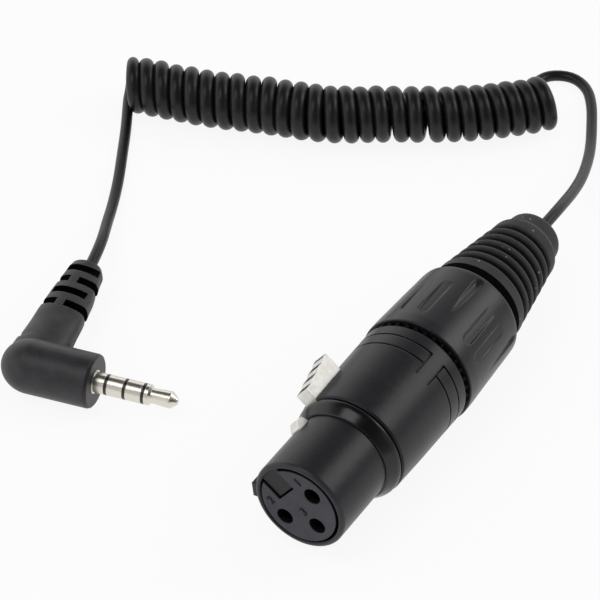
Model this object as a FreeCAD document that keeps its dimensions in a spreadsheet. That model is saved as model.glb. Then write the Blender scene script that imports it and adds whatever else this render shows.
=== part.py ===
import FreeCAD, Part
import math
import os
import re
import Sketcher
from FreeCAD import Placement, Rotation, Vector

# A coiled microphone lead: a female three-pole cable connector, a coil of thin round cord and a moulded
# right-angle four-pole jack plug. The connector lies on its side along X with its mating face towards -X,
# the table is z = 0, and the origin is under the middle of the connector.

SIZES = [
    # Connector housing
    ("nose_r", 16.0 / 2, "outside radius of the nose"),
    ("nose_wall", 1.0, "wall of the nose"),
    ("nose_length", 12.85, "mating face to the shoulder ring"),
    ("rim_round", 0.7, "rounding of the nose's front edge"),
    ("rim_chamfer", 0.25, "inside chamfer of the nose's front edge"),
    ("stop_setback", 0.35, "shoulder to the step that the insert stops against"),
    ("chamber_step", 0.6, "height of that step"),
    ("seat_depth", 0.4, "depth of the seat under the shoulder ring"),
    ("ring_length", 2.15, "shoulder ring, along the connector"),
    ("ring_proud", 0.1, "how far the shoulder ring's front stands above the nose"),
    ("ring_shy", 0.12, "how far the shoulder ring's back lies below the grip"),
    ("ring_round", 1.25, "length of the shoulder ring's rounded front"),
    ("ring_gap", 0.65, "shoulder ring to the housing's shoulder"),
    ("ring_edge", 0.2, "chamfer of the shoulder ring's back edge"),
    ("grip_length", 19.15, "shoulder to the back edge of the housing's grip"),
    ("shoulder_rise", 1.52, "height of the shoulder, from the nose to the grip"),
    ("grip_swell", 0.32, "how much larger the grip's radius is at its back edge"),
    ("grip_mid_setback", 6.35, "shoulder to the section where half of that swell is reached"),
    ("shoulder_chamfer", 0.25, "chamfer of the grip's front edge"),
    ("line_width", 0.3, "width of the two pressed lines round the grip"),
    ("line_depth", 0.25, "depth of those lines"),
    ("line_setback", 14.45, "shoulder to the first line"),
    ("line_pitch", 2.55, "first line to the second"),
    ("line_sweep", 164.0, "angle that each half of a line covers"),
    ("line_lead", 2.5, "how far the lines along the grip start before the first line round it"),
    ("thread_wall", 1.0, "wall of the threaded spigot"),
    ("thread_length", 9.8, "length of the threaded spigot"),
    # Key tab, latch window and hook slot of the housing
    ("tab_front_x", 0.3, "mating face to the key tab"),
    ("tab_length", 4.7, "key tab, along the connector"),
    ("tab_floor", 2.9, "axis to the key tab's inner face"),
    ("tab_side_near", 2.15, "key tab's reach to the side of contact 1"),
    ("tab_side_far", 1.9, "key tab's reach to the side of contact 2"),
    ("window_length", 8.45, "latch window, from the shoulder back"),
    ("window_gap", 0.15, "latch button to the window's side"),
    ("slot_margin", 0.4, "hook slot to the shoulder ring"),
    ("slot_length", 3.1, "hook slot, along the connector"),
    ("slot_gap", 0.2, "hook to the slot's side"),
    ("lug_angle", 43.0, "key to the small lug on the nose's rim"),
    ("lug_reach", 0.7, "lug's height above the nose"),
    ("lug_width", 2.6, "lug's width round the nose"),
    ("lug_length", 3.2, "lug, along the connector"),
    ("lug_start", 0.5, "mating face to the lug"),
    # Insert and contacts
    ("face_gap", 0.35, "ring gap between the insert's face and the nose"),
    ("cheek_length", 2.5, "latch's pin to the back end of the insert's cheeks"),
    ("deck_setback", 8.35, "shoulder to the insert's rear face, where the contacts come out"),
    ("key_floor", 2.6, "axis to the floor of the insert's key slot"),
    ("key_width", 4.4, "width of the insert's key slot"),
    ("contact_circle", 4.15, "axis to each contact"),
    ("hole_r", 1.45, "radius of the three holes in the face"),
    ("lip_length", 1.2, "depth of the insert's lip in front of a contact"),
    ("contact_r", 1.5, "outside radius of a contact"),
    ("contact_bore_r", 1.2, "inside radius of a contact"),
    ("contact_bore", 12.5, "depth of a contact's bore"),
    ("cup_r", 1.3, "outside radius of a solder cup"),
    ("cup_bore_r", 0.85, "inside radius of a solder cup"),
    ("cup_length", 5.5, "solder cup behind the insert"),
    ("cup_bore", 3.2, "depth of a solder cup"),
    # Latch with its pin and spring
    ("pin_setback", 13.35, "shoulder to the latch's pin"),
    ("pin_depth", 1.5, "chamber's wall to the latch's pin"),
    ("pin_r", 0.55, "radius of the latch's pin"),
    ("pin_play", 0.08, "end of the latch's pin to the chamber's wall"),
    ("hub_r", 1.05, "radius of the latch's hub"),
    ("hub_gap", 0.1, "latch's hub to the side of the key slot"),
    ("arm_depth", 1.5, "nose's bore to the underside of the latch's arm"),
    ("arm_thick", 1.0, "thickness of the latch's arm"),
    ("hook_play", 0.4, "hook slot's front to the hook"),
    ("hook_length", 2.25, "hook, along the connector"),
    ("hook_ramp", 1.0, "length and height of the hook's ramp"),
    ("hook_height", 1.15, "nose to the top of the hook"),
    ("hook_width", 2.5, "width of the hook"),
    ("hook_back", 0.4, "length of the slope at the hook's back"),
    ("hook_fall", 0.9, "height of that slope"),
    ("button_gap", 0.25, "shoulder to the button's front"),
    ("button_length", 7.9, "button, along the connector"),
    ("button_width", 3.0, "width of the button and of the arm"),
    ("button_rise", 2.18, "grip's front to the first tread of the button"),
    ("step_rise", 0.48, "height of one step of the button"),
    ("step_pitch", 2.2, "length of one step of the button"),
    ("tread_length", 1.45, "length of one tread"),
    ("tread_fall", 0.12, "how far a tread falls towards its back"),
    ("edge_break", 0.2, "chamfer of the button's front and back edge"),
    ("spring_setback", 4.1, "button's front to the latch's spring"),
    ("spring_coil_r", 1.15, "radius of the spring, at its wire's middle"),
    ("spring_wire_r", 0.2, "radius of the spring's wire"),
    ("spring_turns", 4.0, "turns of the spring"),
    # Toothed ring, chuck, nut and boot
    ("tooth_gap", 0.1, "housing to the toothed ring"),
    ("tooth_length", 1.2, "toothed ring, along the connector"),
    ("tooth_proud", 0.16, "how far the teeth stand above the grip"),
    ("tooth_height", 0.5, "height of the teeth"),
    ("tooth_count", 36.0, "number of teeth"),
    ("tooth_share", 0.55, "share of the pitch that a tooth fills"),
    ("nut_gap", 0.05, "toothed ring to the nut"),
    ("nut_wall", 1.5, "wall of the nut over the thread"),
    ("nut_length", 16.65, "length of the nut"),
    ("nut_mid_fall", 0.2, "how much smaller the nut's radius is at the middle of its taper"),
    ("nut_mid_x", 7.0, "nut's front to that middle"),
    ("nut_back_fall", 0.6, "how much smaller the nut's radius is at its back"),
    ("nut_land", 2.0, "straight front of the nut"),
    ("nut_edge", 0.2, "chamfer of the nut's front edge"),
    ("nut_back_edge", 0.7, "rounded back edge of the nut, along it"),
    ("nut_back_round", 0.2, "radial size of that rounded edge"),
    ("nut_step_x", 9.4, "nut's front to the step that holds the boot"),
    ("flute_groups", 5.0, "groups of flutes round the nut, each one deep flute and two shallow ones"),
    ("deep_front", 5.75, "nut's front to the point of a deep flute"),
    ("deep_length", 9.0, "deep flute from its point to its rounded end"),
    ("deep_r", 1.05, "radius of a deep flute at its wide end"),
    ("deep_sink", 0.32, "nut's largest radius to the middle of a deep flute"),
    ("shallow_front", 3.15, "nut's front to a shallow flute"),
    ("shallow_length", 9.5, "length of a shallow flute"),
    ("shallow_half", 0.95, "half width of a shallow flute"),
    ("shallow_sink", 0.42, "nut's largest radius to the floor of a shallow flute"),
    ("flange_step", 1.1, "how far the boot's inner flange stands out from its stem"),
    ("boot_flange", 0.8, "thickness of the boot's inner flange"),
    ("neck_length", 2.35, "dark neck behind the nut"),
    ("neck_step", 0.8, "nut's back face down to that neck"),
    ("collar_length", 2.3, "plain collar of the boot"),
    ("collar_shy", 0.1, "how far the collar lies below the neck"),
    ("rib_fall", 0.33, "how much smaller each rib is than the one before"),
    ("rib_pitch", 2.27, "rib to rib"),
    ("rib_width", 1.15, "width of a rib at its crest"),
    ("rib_count", 5.0, "number of ribs"),
    ("groove_depth", 0.9, "depth of the grooves between the ribs"),
    ("groove_draft", 0.1, "slope of a groove's sides"),
    ("rib_shy", 0.12, "how far the ribs' crests lie below the collar"),
    ("band_length", 2.5, "plain band behind the ribs"),
    ("band_back_r", 6.08, "radius of the band at its back"),
    ("cap_step", 0.8, "length of the slope between the band and the cap"),
    ("cap_r", 5.1, "radius of the cap"),
    ("cap_length", 5.3, "length of the cap"),
    ("cap_back_r", 4.7, "radius of the cap at its back"),
    ("cap_round", 1.3, "rounding of the cap's end"),
    ("stem_wall", 0.8, "wall of the boot's stem"),
    ("boot_throat", 4.3, "radius of the boot's hollow at its back"),
    ("throat_margin", 0.2, "back of that hollow to the nut's back face"),
    ("chuck_setback", 0.2, "back edge of the housing's grip to the chuck"),
    ("chuck_collar", 6.0, "length of the chuck's collar"),
    ("chuck_play", 0.3, "tips of the chuck's fingers to the boot's hollow"),
    ("finger_margin", 0.8, "those tips to the nut's back face"),
    ("chuck_root_play", 0.4, "roots of the chuck's fingers to the boot's hollow"),
    ("chuck_bore_r", 3.6, "inside radius of the chuck's collar"),
    ("chuck_grip", 4.0, "length over which the fingers grip the cord"),
    ("chuck_slit", 1.0, "width of the slits between the fingers"),
    ("chuck_lead", 1.0, "length of the cone in front of the fingers' grip, and of the collar's root"),
    # Cord inside the connector
    ("cord_r", 1.0, "radius of the straight cord"),
    ("core_r", 0.38, "radius of one core"),
    ("core_offset", 0.58, "axis to each core where it leaves the jacket"),
    ("core_lead", 4.0, "straight run of a core out of the jacket"),
    ("core_drift", 0.1, "how far a core moves outwards along that run"),
    ("core_bend", 3.0, "solder cup to a core's bend"),
    ("core_inset", 0.6, "how far inside the cup's place that bend lies"),
    ("core_dip", 2.8, "depth of a core in its solder cup"),
    # Plug
    ("barrel_r", 4.6, "radius of the plug's grip"),
    ("barrel_length", 11.3, "elbow to the grip's front face"),
    ("barrel_taper", 0.65, "radial size of the grip's front chamfer"),
    ("barrel_chamfer", 1.1, "axial size of the grip's front chamfer"),
    ("relief_half", 4.5, "half width of the bend relief at the elbow"),
    ("relief_thick", 3.1, "half thickness of the bend relief at the elbow"),
    ("relief_root", 2.0, "elbow to the first section of the relief"),
    ("relief_mid", 18.6, "elbow to the middle section of the relief"),
    ("relief_mid_half", 3.58, "half width there"),
    ("relief_mid_thick", 2.45, "half thickness there"),
    ("relief_length", 28.1, "elbow to the end of the relief"),
    ("relief_end_half", 2.8, "half width at the end"),
    ("relief_end_thick", 1.95, "half thickness at the end"),
    ("relief_chamfer", 0.8, "chamfer of the relief's end"),
    ("relief_bend", 0.7, "sideways bend of the relief at its end"),
    ("slit_first", 15.3, "elbow to the first slit of the relief"),
    ("slit_pitch", 3.3, "slit to slit"),
    ("slit_width", 1.15, "width of a slit"),
    ("slit_core", 1.25, "half thickness of the core that the slits leave"),
    ("slit_bridge", 0.7, "thickness of the bridges beside a slit"),
    ("slit_count", 4.0, "number of slits"),
    ("jack_r", 3.5 / 2, "radius of the plug's shaft"),
    ("jack_length", 14.35, "length of the plug's shaft"),
    ("jack_tail", 3.4, "how far the sleeve reaches into the grip"),
    ("jack_neck_r", 2.0, "radius of the sleeve's neck in the grip"),
    ("jack_flange_r", 2.55, "radius of the sleeve's flange in the grip"),
    ("jack_flange_x", 1.2, "grip's face to that flange"),
    ("jack_bore_r", 1.3, "inside radius of the sleeve"),
    ("layer", 0.18, "radial step from one nested tube to the next"),
    ("layer_gap", 0.02, "play between nested tubes"),
    ("tail_step", 0.5, "how much further back each inner tube reaches"),
    ("band_first", 2.17, "grip's face to the middle of the first black band"),
    ("band_pitch", 3.24, "black band to black band"),
    ("band_width", 0.53, "width of a black band"),
    ("tip_collar", 0.65, "length of the tip's collar"),
    ("tip_slope", 0.35, "length of the slope behind the waist"),
    ("tip_waist", 0.5, "length of the waist"),
    ("tip_waist_r", 1.28, "radius of the waist in front of the collar"),
    ("tip_crest_r", 1.43, "radius of the tip's crest"),
    ("tip_crest_x", 13.0, "grip's face to the crest"),
    ("tip_nose_r", 0.5, "radius of the flat on the tip"),
    ("tip_crown", 0.25, "length of the tip's straight crest"),
    ("plug_x", -29.84, "elbow's place along X"),
    ("plug_y", 56.47, "elbow's place along Y"),
    ("plug_turn", -77.6, "direction of the plug's shaft"),
    # Coil
    ("coil_r", 5.22, "outside radius of the coil"),
    # Fits
    ("fit", 0.05, "play of pieces that are seated in each other"),
    ("overrun", 1.0, "how far a cutter runs past the piece that it cuts"),
    ("key_tilt", 54.14, "turn of the connector about its axis, from key up"),
]

doc = FreeCAD.newDocument("microphone_lead")
sheet = doc.addObject("Spreadsheet::Sheet", "Sizes")
for row, (alias, value, note) in enumerate(SIZES, start=1):
    sheet.set(f"A{row}", note)
    sheet.set(f"B{row}", f"{value:g}")
    sheet.setAlias(f"B{row}", alias)
doc.recompute()
ALIASES = {alias for alias, value, note in SIZES}


def size(alias):
    """The value of one cell."""
    return float(sheet.get(alias))


def total(text):
    """The value of a plain sum of cells, such as 'one + two - three'."""
    value = 0.0
    sign = 1
    for word in text.strip("()").split():
        if word in "+-":
            sign = 1 if word == "+" else -1
        else:
            value += sign * size(word)
    return value


def bound(text):
    """An expression in which each alias names its cell."""
    return re.sub(r"[a-z]\w*", lambda m: "Sizes." + m.group() if m.group() in ALIASES else m.group(), text)


def origin_part(body, role):
    """A body's own plane or axis."""
    return next(item for item in body.Origin.OriginFeatures if item.Role == role)


def new_body(label):
    body = doc.addObject("PartDesign::Body", label)
    body.Label = label
    return body


def new_sketch(body, role, name, turn=0.0, shift=None):
    """A sketch on one of the body's planes, turned about X or shifted along its normal."""
    sketch = body.newObject("Sketcher::SketchObject", f"{body.Name}_{name}")
    sketch.AttachmentSupport = [(origin_part(body, role), "")]
    sketch.MapMode = "FlatFace"
    sketch.AttachmentOffset = Placement(Vector(), Rotation(Vector(1, 0, 0), turn))
    if shift:
        sketch.setExpression("AttachmentOffset.Base.z", bound(shift))
    return sketch


# An outline's corners start evenly on a circle of this radius, and its constraints then pull them into place
START_RADIUS = 10.0
# Corners in a quarter turn of a rounded outline
ARC_STEPS = 4


def quarter(start, end, radial_first):
    """Corners of an elliptical quarter turn between two corners, leaving the first one outwards or along."""
    corners = []
    for step in range(ARC_STEPS + 1):
        angle = math.pi / 2 * step / ARC_STEPS
        late, early = 1 - math.cos(angle), math.sin(angle)
        along, out = (late, early) if radial_first else (early, late)
        corners.append((f"({start[0]}) * {1 - along:.4f} + ({end[0]}) * {along:.4f}",
                        f"({start[1]}) * {1 - out:.4f} + ({end[1]}) * {out:.4f}"))
    return corners


def outline(body, role, name, corners, turn=0.0, shift=None):
    """A closed outline of straight edges. Each corner is a pair of expressions."""
    sketch = new_sketch(body, role, name, turn, shift)
    count = len(corners)
    angles = [2 * math.pi * k / count for k in range(count)]
    start = [Vector(math.cos(angle), math.sin(angle), 0) * START_RADIUS for angle in angles]
    for k in range(count):
        sketch.addGeometry(Part.LineSegment(start[k], start[(k + 1) % count]), False)
    for k in range(count):
        sketch.addConstraint(Sketcher.Constraint("Coincident", k, 2, (k + 1) % count, 1))
    for k, (across, up) in enumerate(corners):
        for kind, text, value in (("DistanceX", across, start[k].x), ("DistanceY", up, start[k].y)):
            number = sketch.addConstraint(Sketcher.Constraint(kind, -1, 1, k, 1, value))
            sketch.setExpression(f"Constraints[{number}]", bound(text))
    return sketch


def circle(body, role, name, across, up, radius, shift=None):
    """A circle whose centre and radius are expressions."""
    sketch = new_sketch(body, role, name, shift=shift)
    sketch.addGeometry(Part.Circle(Vector(1, 1, 0), Vector(0, 0, 1), 1), False)
    for kind, text in (("DistanceX", across), ("DistanceY", up)):
        number = sketch.addConstraint(Sketcher.Constraint(kind, -1, 1, 0, 3, 1))
        sketch.setExpression(f"Constraints[{number}]", bound(text))
    number = sketch.addConstraint(Sketcher.Constraint("Radius", 0, 1))
    sketch.setExpression(f"Constraints[{number}]", bound(radius))
    return sketch


def ellipse(body, role, name, half_width, half_height, across, shift):
    """An upright ellipse whose half axes and centre are expressions."""
    sketch = new_sketch(body, role, name, shift=shift)
    sketch.addGeometry(Part.Ellipse(Vector(0, 0, 0), 4, 3), False)
    sketch.exposeInternalGeometry(0)
    major, minor = 1, 2
    sketch.addConstraint(Sketcher.Constraint("Horizontal", major))
    number = sketch.addConstraint(Sketcher.Constraint("DistanceX", -1, 1, 0, 3, 0))
    sketch.setExpression(f"Constraints[{number}]", bound(across))
    sketch.addConstraint(Sketcher.Constraint("PointOnObject", 0, 3, -1))
    for line, text, value in ((major, half_width, 8), (minor, half_height, 6)):
        number = sketch.addConstraint(Sketcher.Constraint("Distance", line, value))
        sketch.setExpression(f"Constraints[{number}]", bound(f"2 * ({text})"))
    return sketch


def revolve(body, sketch, cut=False, sweep=None):
    """Turns a sketch about the body's X axis, all the way or over an angle centred on the sketch."""
    kind = "Groove" if cut else "Revolution"
    feature = body.newObject("PartDesign::" + kind, sketch.Name + "_" + kind.lower())
    feature.Profile = sketch
    feature.ReferenceAxis = (origin_part(body, "X_Axis"), [""])
    feature.Angle = 360
    if sweep:
        feature.Midplane = True
        feature.setExpression("Angle", bound(sweep))
    return feature


def extrude(body, sketch, length, cut=False, other=None):
    """Pads or pockets a sketch evenly to both sides, or by two lengths."""
    kind = "Pocket" if cut else "Pad"
    feature = body.newObject("PartDesign::" + kind, sketch.Name + "_" + kind.lower())
    feature.Profile = sketch
    feature.SideType = "Two sides" if other else "Symmetric"
    feature.setExpression("Length", bound(length))
    if other:
        feature.setExpression("Length2", bound(other))
    return feature


def ring_of(body, features, count):
    """Repeats features evenly about the body's X axis."""
    pattern = body.newObject("PartDesign::PolarPattern", body.Name + "_ring_" + features[0].Name)
    pattern.Originals = features
    pattern.Axis = (origin_part(body, "X_Axis"), [""])
    pattern.Angle = 360
    pattern.Occurrences = count
    body.Tip = pattern
    return pattern


def box(low_x, low_z, high_x, high_z):
    """The corners of a rectangle."""
    return [(low_x, low_z), (high_x, low_z), (high_x, high_z), (low_x, high_z)]


def round_edge(body, base, place, radius, name, tolerance=0.01):
    """Fillets the circular edges of a feature at one place along X and one radius."""
    doc.recompute()
    at_x, at_r = place
    names = []
    for number, edge in enumerate(base.Shape.Edges, start=1):
        if not isinstance(edge.Curve, Part.Circle):
            continue
        if abs(edge.Curve.Center.x - at_x) < tolerance and abs(edge.Curve.Radius - at_r) < tolerance:
            names.append(f"Edge{number}")
    feature = body.newObject("PartDesign::Fillet", f"{body.Name}_{name}")
    feature.Base = (base, names)
    feature.setExpression("Radius", bound(radius))
    return feature


# Stations along the connector and radii about its axis, worked out from the cells
RING_BACK = "nose_length + ring_length"
SHOULDER = RING_BACK + " + ring_gap"
STOP = SHOULDER + " + stop_setback"
DECK = SHOULDER + " + deck_setback"
BUTTON = SHOULDER + " + button_gap"
PIN = SHOULDER + " + pin_setback"
CHEEK_END = PIN + " + cheek_length"
SLOT_FRONT = "nose_length - slot_margin - slot_length"
HOOK = SLOT_FRONT + " + hook_play"
GRIP_END = SHOULDER + " + grip_length"
CHUCK = GRIP_END + " + chuck_setback"
CHUCK_COLLAR_END = CHUCK + " + chuck_collar"
TEETH = GRIP_END + " + tooth_gap"
TEETH_END = TEETH + " + tooth_length"
NUT = TEETH_END + " + nut_gap"
NUT_END = NUT + " + nut_length"
NECK_END = NUT_END + " + neck_length"
COLLAR_END = NECK_END + " + collar_length"
THREAD_END = GRIP_END + " + thread_length"
THROAT = NUT_END + " - throat_margin"
FINGER_TIPS = NUT_END + " - finger_margin"
NOSE_BORE = "(nose_r - nose_wall)"
CHAMBER = "(nose_r - nose_wall + chamber_step)"
RING_SEAT = "(nose_r - seat_depth)"
RING_FRONT_R = "(nose_r + ring_proud)"
GRIP_R = "(nose_r + shoulder_rise)"
GRIP_MID_R = "(nose_r + shoulder_rise + grip_swell / 2)"
GRIP_BACK_R = "(nose_r + shoulder_rise + grip_swell)"
RING_R = "(nose_r + shoulder_rise - ring_shy)"
INSERT_R = "(nose_r - nose_wall - face_gap)"
THREAD_R = "(nose_r - nose_wall + chamber_step + thread_wall)"
PIN_RISE = "(nose_r - nose_wall + chamber_step - pin_depth)"
ARM_LOW = "(nose_r - nose_wall - arm_depth)"
HOOK_R = "(nose_r + hook_height)"
BUTTON_R = "(nose_r + shoulder_rise + button_rise)"
TOOTH_R = "(nose_r + shoulder_rise + grip_swell + tooth_proud)"
TOOTH_ROOT = f"({TOOTH_R} - tooth_height)"
NUT_R = "(nose_r - nose_wall + chamber_step + thread_wall + nut_wall)"
NUT_LIP = f"({NUT_R} - nut_back_fall - nut_back_round)"
STEM_R = f"({THREAD_R} - flange_step)"
BOOT_BORE = f"({STEM_R} - stem_wall)"
NECK_R = f"({NUT_LIP} - neck_step)"
COLLAR_R = f"({NECK_R} - collar_shy)"

connector_parts = []
plug_parts = []


def make_shell():
    """Die-cast housing: nose, grip and threaded spigot in one."""
    body = new_body("shell")
    profile = [
        ("0", f"{NOSE_BORE} + rim_chamfer"),
        ("0", "nose_r"),
        ("nose_length", "nose_r"),
        ("nose_length", RING_SEAT),
        (SHOULDER, RING_SEAT),
        (SHOULDER, f"{GRIP_R} - shoulder_chamfer"),
        (SHOULDER + " + shoulder_chamfer", GRIP_R),
        (SHOULDER + " + grip_mid_setback", GRIP_MID_R),
        (GRIP_END, GRIP_BACK_R),
        (GRIP_END, THREAD_R),
        (THREAD_END, THREAD_R),
        (THREAD_END, CHAMBER),
        (STOP, CHAMBER),
        (STOP, NOSE_BORE),
        ("rim_chamfer", NOSE_BORE),
    ]
    casting = revolve(body, outline(body, "XZ_Plane", "casting", profile))
    round_edge(body, casting, (0, size("nose_r")), "rim_round", "rim")
    tab = box("tab_front_x", "tab_floor", "tab_front_x + tab_length", "nose_r - nose_wall / 2")
    extrude(body, outline(body, "XZ_Plane", "key_tab", tab), "tab_side_near", other="tab_side_far")
    lug = box("lug_start", f"{NOSE_BORE} + fit", "lug_start + lug_length", "nose_r + lug_reach")
    extrude(body, outline(body, "XZ_Plane", "lug", lug, turn=-size("lug_angle")), "lug_width")
    window = box(SHOULDER + " - shoulder_chamfer", ARM_LOW, SHOULDER + " + window_length", BUTTON_R)
    extrude(body, outline(body, "XZ_Plane", "window", window), "button_width + 2 * window_gap", cut=True)
    slot = box(SLOT_FRONT, ARM_LOW, SLOT_FRONT + " + slot_length", "nose_r + overrun")
    extrude(body, outline(body, "XZ_Plane", "hook_slot", slot), "hook_width + 2 * slot_gap", cut=True)
    press_lines(body)
    connector_parts.append(body)


def press_lines(body):
    """Two fine lines round each half of the grip, and a line along it where each half ends."""
    depth = f"{GRIP_MID_R} - line_depth"
    first = SHOULDER + " + line_setback"
    for side, turn in (("key", 0.0), ("back", 180.0)):
        for number in range(2):
            front = f"{first} + {number} * line_pitch - line_width / 2"
            line = box(front, depth, front + " + line_width", NUT_R)
            revolve(body, outline(body, "XZ_Plane", f"line_{side}_{number}", line, turn=turn), cut=True,
                    sweep="line_sweep")
    lines = []
    half = size("line_sweep") / 2
    for name, turn in (("near", half), ("far", 180 - half)):
        line = box(f"{first} - line_lead", depth, f"{first} + line_pitch + line_width / 2", NUT_R)
        lines.append(extrude(body, outline(body, "XZ_Plane", f"end_{name}", line, turn=turn), "line_width", cut=True))
    ring_of(body, lines, 2)


def make_shoulder_ring():
    """Rubber ring that fills the root of the nose."""
    body = new_body("shoulder_ring")
    front = "nose_length + fit"
    profile = [(front, f"{RING_SEAT} + fit")]
    profile += quarter((front, RING_FRONT_R), (f"{front} + ring_round", RING_R), radial_first=True)
    profile += [
        (RING_BACK + " - ring_edge", RING_R),
        (RING_BACK, f"{RING_R} - ring_edge"),
        (RING_BACK, f"{RING_SEAT} + fit"),
    ]
    revolve(body, outline(body, "XZ_Plane", "ring", profile))
    connector_parts.append(body)


# Each contact's place on the face: sideways, and down from the axis. The key slot has the fourth place.
CONTACT_SITES = [(-1, 0), (1, 0), (0, 1)]


def make_insert():
    """Moulded contact carrier with the key slot, three stepped holes and two cheeks for the latch's pin."""
    body = new_body("insert")
    profile = [
        ("0", "0"),
        ("0", INSERT_R),
        (f"{STOP} + fit", INSERT_R),
        (f"{STOP} + fit", f"{CHAMBER} - fit"),
        (CHEEK_END, f"{CHAMBER} - fit"),
        (CHEEK_END, "0"),
    ]
    revolve(body, outline(body, "XZ_Plane", "blank", profile))
    slot = box("-overrun", "key_floor", f"{CHEEK_END} + overrun", f"{CHAMBER} + overrun")
    extrude(body, outline(body, "XZ_Plane", "key_slot", slot), "key_width", cut=True)
    under = box(DECK, f"-{CHAMBER} - overrun", f"{CHEEK_END} + overrun", "key_floor")
    extrude(body, outline(body, "XZ_Plane", "rear_step", under), f"2 * ({CHAMBER} + overrun)", cut=True)
    for number, (side, down) in enumerate(CONTACT_SITES, start=1):
        across = f"{side} * contact_circle"
        up = f"-{down} * contact_circle"
        face = circle(body, "YZ_Plane", f"hole_{number}", across, up, "hole_r")
        extrude(body, face, "4 * lip_length", cut=True)
        well = circle(body, "YZ_Plane", f"well_{number}", across, up, "contact_r + fit",
                      shift=f"(lip_length + {DECK} + overrun) / 2")
        extrude(body, well, f"{DECK} + overrun - lip_length", cut=True)
    pin = circle(body, "XZ_Plane", "pin_hole", PIN, PIN_RISE, "pin_r + fit")
    extrude(body, pin, f"2 * ({CHAMBER} + overrun)", cut=True)
    connector_parts.append(body)


def make_contacts():
    """Turned socket contacts, each with a bore for a pin in front and a solder cup behind."""
    front = "lip_length + fit"
    bore_end = f"{front} + contact_bore"
    cup_end = f"{DECK} + cup_length"
    profile = [
        (front, "contact_bore_r"),
        (front, "contact_r"),
        (DECK, "contact_r"),
        (DECK, "cup_r"),
        (cup_end, "cup_r"),
        (cup_end, "cup_bore_r"),
        (f"{cup_end} - cup_bore", "cup_bore_r"),
        (f"{cup_end} - cup_bore", "0"),
        (bore_end, "0"),
        (bore_end, "contact_bore_r"),
    ]
    for number, (side, down) in enumerate(CONTACT_SITES, start=1):
        body = new_body(f"contact_{number}")
        revolve(body, outline(body, "XZ_Plane", "turning", profile))
        place_on_axis(body, Vector(0, side, -down) * size("contact_circle"))


def latch_outline():
    """Side view of the latch: hook, arm, and button with its treads."""
    arm_top = f"{ARM_LOW} + arm_thick"
    button_end = f"{BUTTON} + button_length"
    top = f"{BUTTON_R} + {BUTTON_STEPS} * step_rise - tread_fall"
    points = [
        (HOOK, ARM_LOW),
        (HOOK, f"{HOOK_R} - hook_ramp"),
        (f"{HOOK} + hook_ramp", HOOK_R),
        (f"{HOOK} + hook_length - hook_back", HOOK_R),
        (f"{HOOK} + hook_length", f"{HOOK_R} - hook_fall"),
        (f"{HOOK} + hook_length", arm_top),
        (BUTTON, arm_top),
        (BUTTON, f"{BUTTON_R} - edge_break"),
    ]
    for step in range(BUTTON_STEPS):
        tread = f"{BUTTON} + edge_break + {step} * step_pitch"
        rise = f"{BUTTON_R} + {step} * step_rise"
        points.append((tread, rise))
        points.append((f"{tread} + tread_length", f"{rise} - tread_fall"))
    points += [
        (f"{BUTTON} + edge_break + {BUTTON_STEPS} * step_pitch", f"{BUTTON_R} + {BUTTON_STEPS} * step_rise"),
        (f"{button_end} - edge_break", top),
        (button_end, f"{top} - edge_break"),
        (button_end, arm_top),
        (PIN, arm_top),
        (PIN, ARM_LOW),
    ]
    return points


# Steps of the button below its top tread
BUTTON_STEPS = 3


def make_latch():
    """One-piece rocker: hook in front, serrated button, hub on the pin."""
    body = new_body("latch")
    extrude(body, outline(body, "XZ_Plane", "side_view", latch_outline()), "button_width")
    extrude(body, circle(body, "XZ_Plane", "hub", PIN, PIN_RISE, "hub_r"), "key_width - 2 * hub_gap")
    extrude(body, circle(body, "XZ_Plane", "pin_hole", PIN, PIN_RISE, "pin_r + fit"), "key_width", cut=True)
    flank = box(f"{HOOK} - overrun", f"{ARM_LOW} - overrun", f"{HOOK} + hook_length + slot_gap", f"{HOOK_R} + overrun")
    for name, side in (("near", "-1"), ("far", "1")):
        middle = f"{side} * (hook_width / 2 + overrun)"
        extrude(body, outline(body, "XZ_Plane", f"hook_{name}", flank, shift=middle), "2 * overrun", cut=True)
    connector_parts.append(body)


def make_latch_pin():
    """Steel pin, as long as the chamber is wide where it sits."""
    body = new_body("latch_pin")
    top = f"({PIN_RISE} + pin_r)"
    chord = f"2 * (sqrt(({CHAMBER} - {top}) * ({CHAMBER} + {top})) - pin_play)"
    extrude(body, circle(body, "XZ_Plane", "pin", PIN, PIN_RISE, "pin_r"), chord)
    connector_parts.append(body)


def make_latch_spring():
    """Round-wire compression spring between the key slot's floor and the latch's arm."""
    wire_r = size("spring_wire_r")
    low = size("key_floor") + size("fit") + wire_r
    high = total(ARM_LOW) - size("fit") - wire_r
    turns = size("spring_turns")
    helix = Part.makeHelix((high - low) / turns, high - low, size("spring_coil_r"))
    start = helix.Edges[0].valueAt(helix.Edges[0].FirstParameter)
    section = Part.Wire([Part.makeCircle(wire_r, start, Vector(0, 1, 0))])
    coil = Part.Wire(helix.Edges).makePipeShell([section], True, True)
    spring = doc.addObject("Part::Feature", "latch_spring")
    spring.Label = "latch_spring"
    spring.Shape = coil
    place_on_axis(spring, Vector(total(BUTTON + " + spring_setback"), 0, low))


def make_toothed_ring():
    """Ring of dark teeth between the housing and the nut."""
    body = new_body("toothed_ring")
    inner = f"{THREAD_R} + fit"
    revolve(body, outline(body, "XZ_Plane", "ring", box(TEETH, inner, TEETH_END, TOOTH_ROOT)))
    width = f"2 * pi * {TOOTH_ROOT} * tooth_share / tooth_count"
    tooth = box(TEETH, f"{inner} + fit", TEETH_END, TOOTH_R)
    block = extrude(body, outline(body, "XZ_Plane", "tooth", tooth), width)
    ring_of(body, [block], int(size("tooth_count")))
    connector_parts.append(body)


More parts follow.
